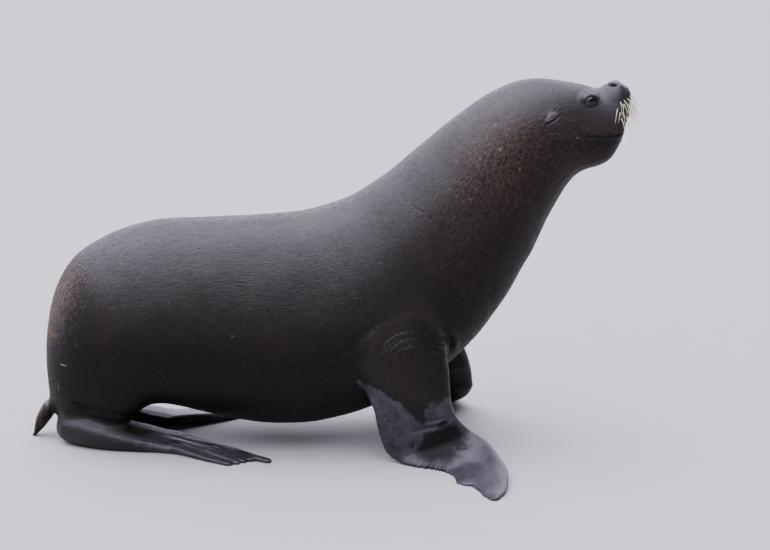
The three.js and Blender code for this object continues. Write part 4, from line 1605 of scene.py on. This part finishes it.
nail, tree = material("brown_nail_keratin")
place = add(tree, "TexCoord", out="Object")
ridges = add(tree, "TexWave", {"Vector": place, "Scale": MM / GROOVES, "Distortion": 1.5}, out="Fac")
stain = add(tree, "TexNoise", (place, MM / 6), out="Fac")
colour = add(tree, "Mix", (stain, "#2b1a15", "#4d3127"), data_type="RGBA")
bump = add(tree, "Bump", {"Height": ridges, "Distance": GROOVE_DEPTH / MM, "Strength": 0.5})
finish(tree, add(tree, "BsdfPrincipled", {"Base Color": colour, "Roughness": 0.3, "IOR": 1.55,
                                          "Normal": bump}))
for name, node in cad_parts.items():
    if name.startswith("claw"):
        node.data.materials.clear()
        node.data.materials.append(nail)
print("nails:", sum(name.startswith("claw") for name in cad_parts))

# %% [markdown]
# ## The stage
# A pale floor, two wide patches of bright sky and a weak sky all round: an overcast day in a
# studio. The animal is black and wet, so what shows its form is mostly what it reflects. The
# patch behind the animal draws the grey sheen along the back, the one overhead lights the flank,
# and the pale floor keeps the belly from being lost. The camera stands 7 m off, slightly above,
# with a long lens.

# %% Floor, lights and camera
CAMERA = (150.0, -6792.0, 2197.0)
CAMERA_DOWN = 14.0
CAMERA_DISTANCE = 7000
PIXEL = 3.0  # how many millimetres of the animal one pixel covers
IMAGE_WIDTH = 770
SENSOR = 36.0
FLOOR = 30.0  # metres from its middle to its edges
SKY = {  # the way to each patch of sky, how wide it is in degrees, and its strength
    "sky_behind": ((-0.15, 0.75, 1.0), 90.0, 5.3),
    "sky_overhead": ((-0.3, -0.25, 1.0), 80.0, 5.8),
}

floor_mesh = bpy.data.meshes.new("floor")
corners = [(x * FLOOR, y * FLOOR, 0) for x, y in ((-1, -1), (1, -1), (1, 1), (-1, 1))]
floor_mesh.from_pydata(corners, [], [(0, 1, 2, 3)])
floor = placed("floor", floor_mesh)
plaster, tree = material("pale_plaster_floor")
mottle = add(tree, "TexNoise", (add(tree, "TexCoord", out="Object"), MM / 90, 4), out="Fac")
tone = add(tree, "Mix", (mottle, "#b7b5b1", "#c0beba"), data_type="RGBA")
finish(tree, add(tree, "BsdfPrincipled", {"Base Color": tone, "Roughness": 0.85}))
floor.data.materials.append(plaster)

world = bpy.data.worlds.new("overcast")
world.use_nodes = True
world.node_tree.nodes["Background"].inputs["Color"].default_value = linear("#d3dbe8")
world.node_tree.nodes["Background"].inputs["Strength"].default_value = 0.28
bpy.context.scene.world = world

for name, (towards, spread, power) in SKY.items():
    light = bpy.data.lights.new(name, "SUN")
    light.color = linear("#e4e4fa")[:3]
    light.angle = math.radians(spread)
    light.energy = power
    placed(name, light).rotation_euler = Vector(towards).to_track_quat("Z", "Y").to_euler()

view = bpy.data.cameras.new("camera")
view.sensor_width = SENSOR
view.lens = SENSOR * CAMERA_DISTANCE / PIXEL / IMAGE_WIDTH
camera = placed("camera", view)
camera.location = metres(CAMERA)
camera.rotation_euler = (math.radians(90 - CAMERA_DOWN), 0, 0)
bpy.context.scene.camera = camera
print("lens", round(view.lens, 1), "mm")
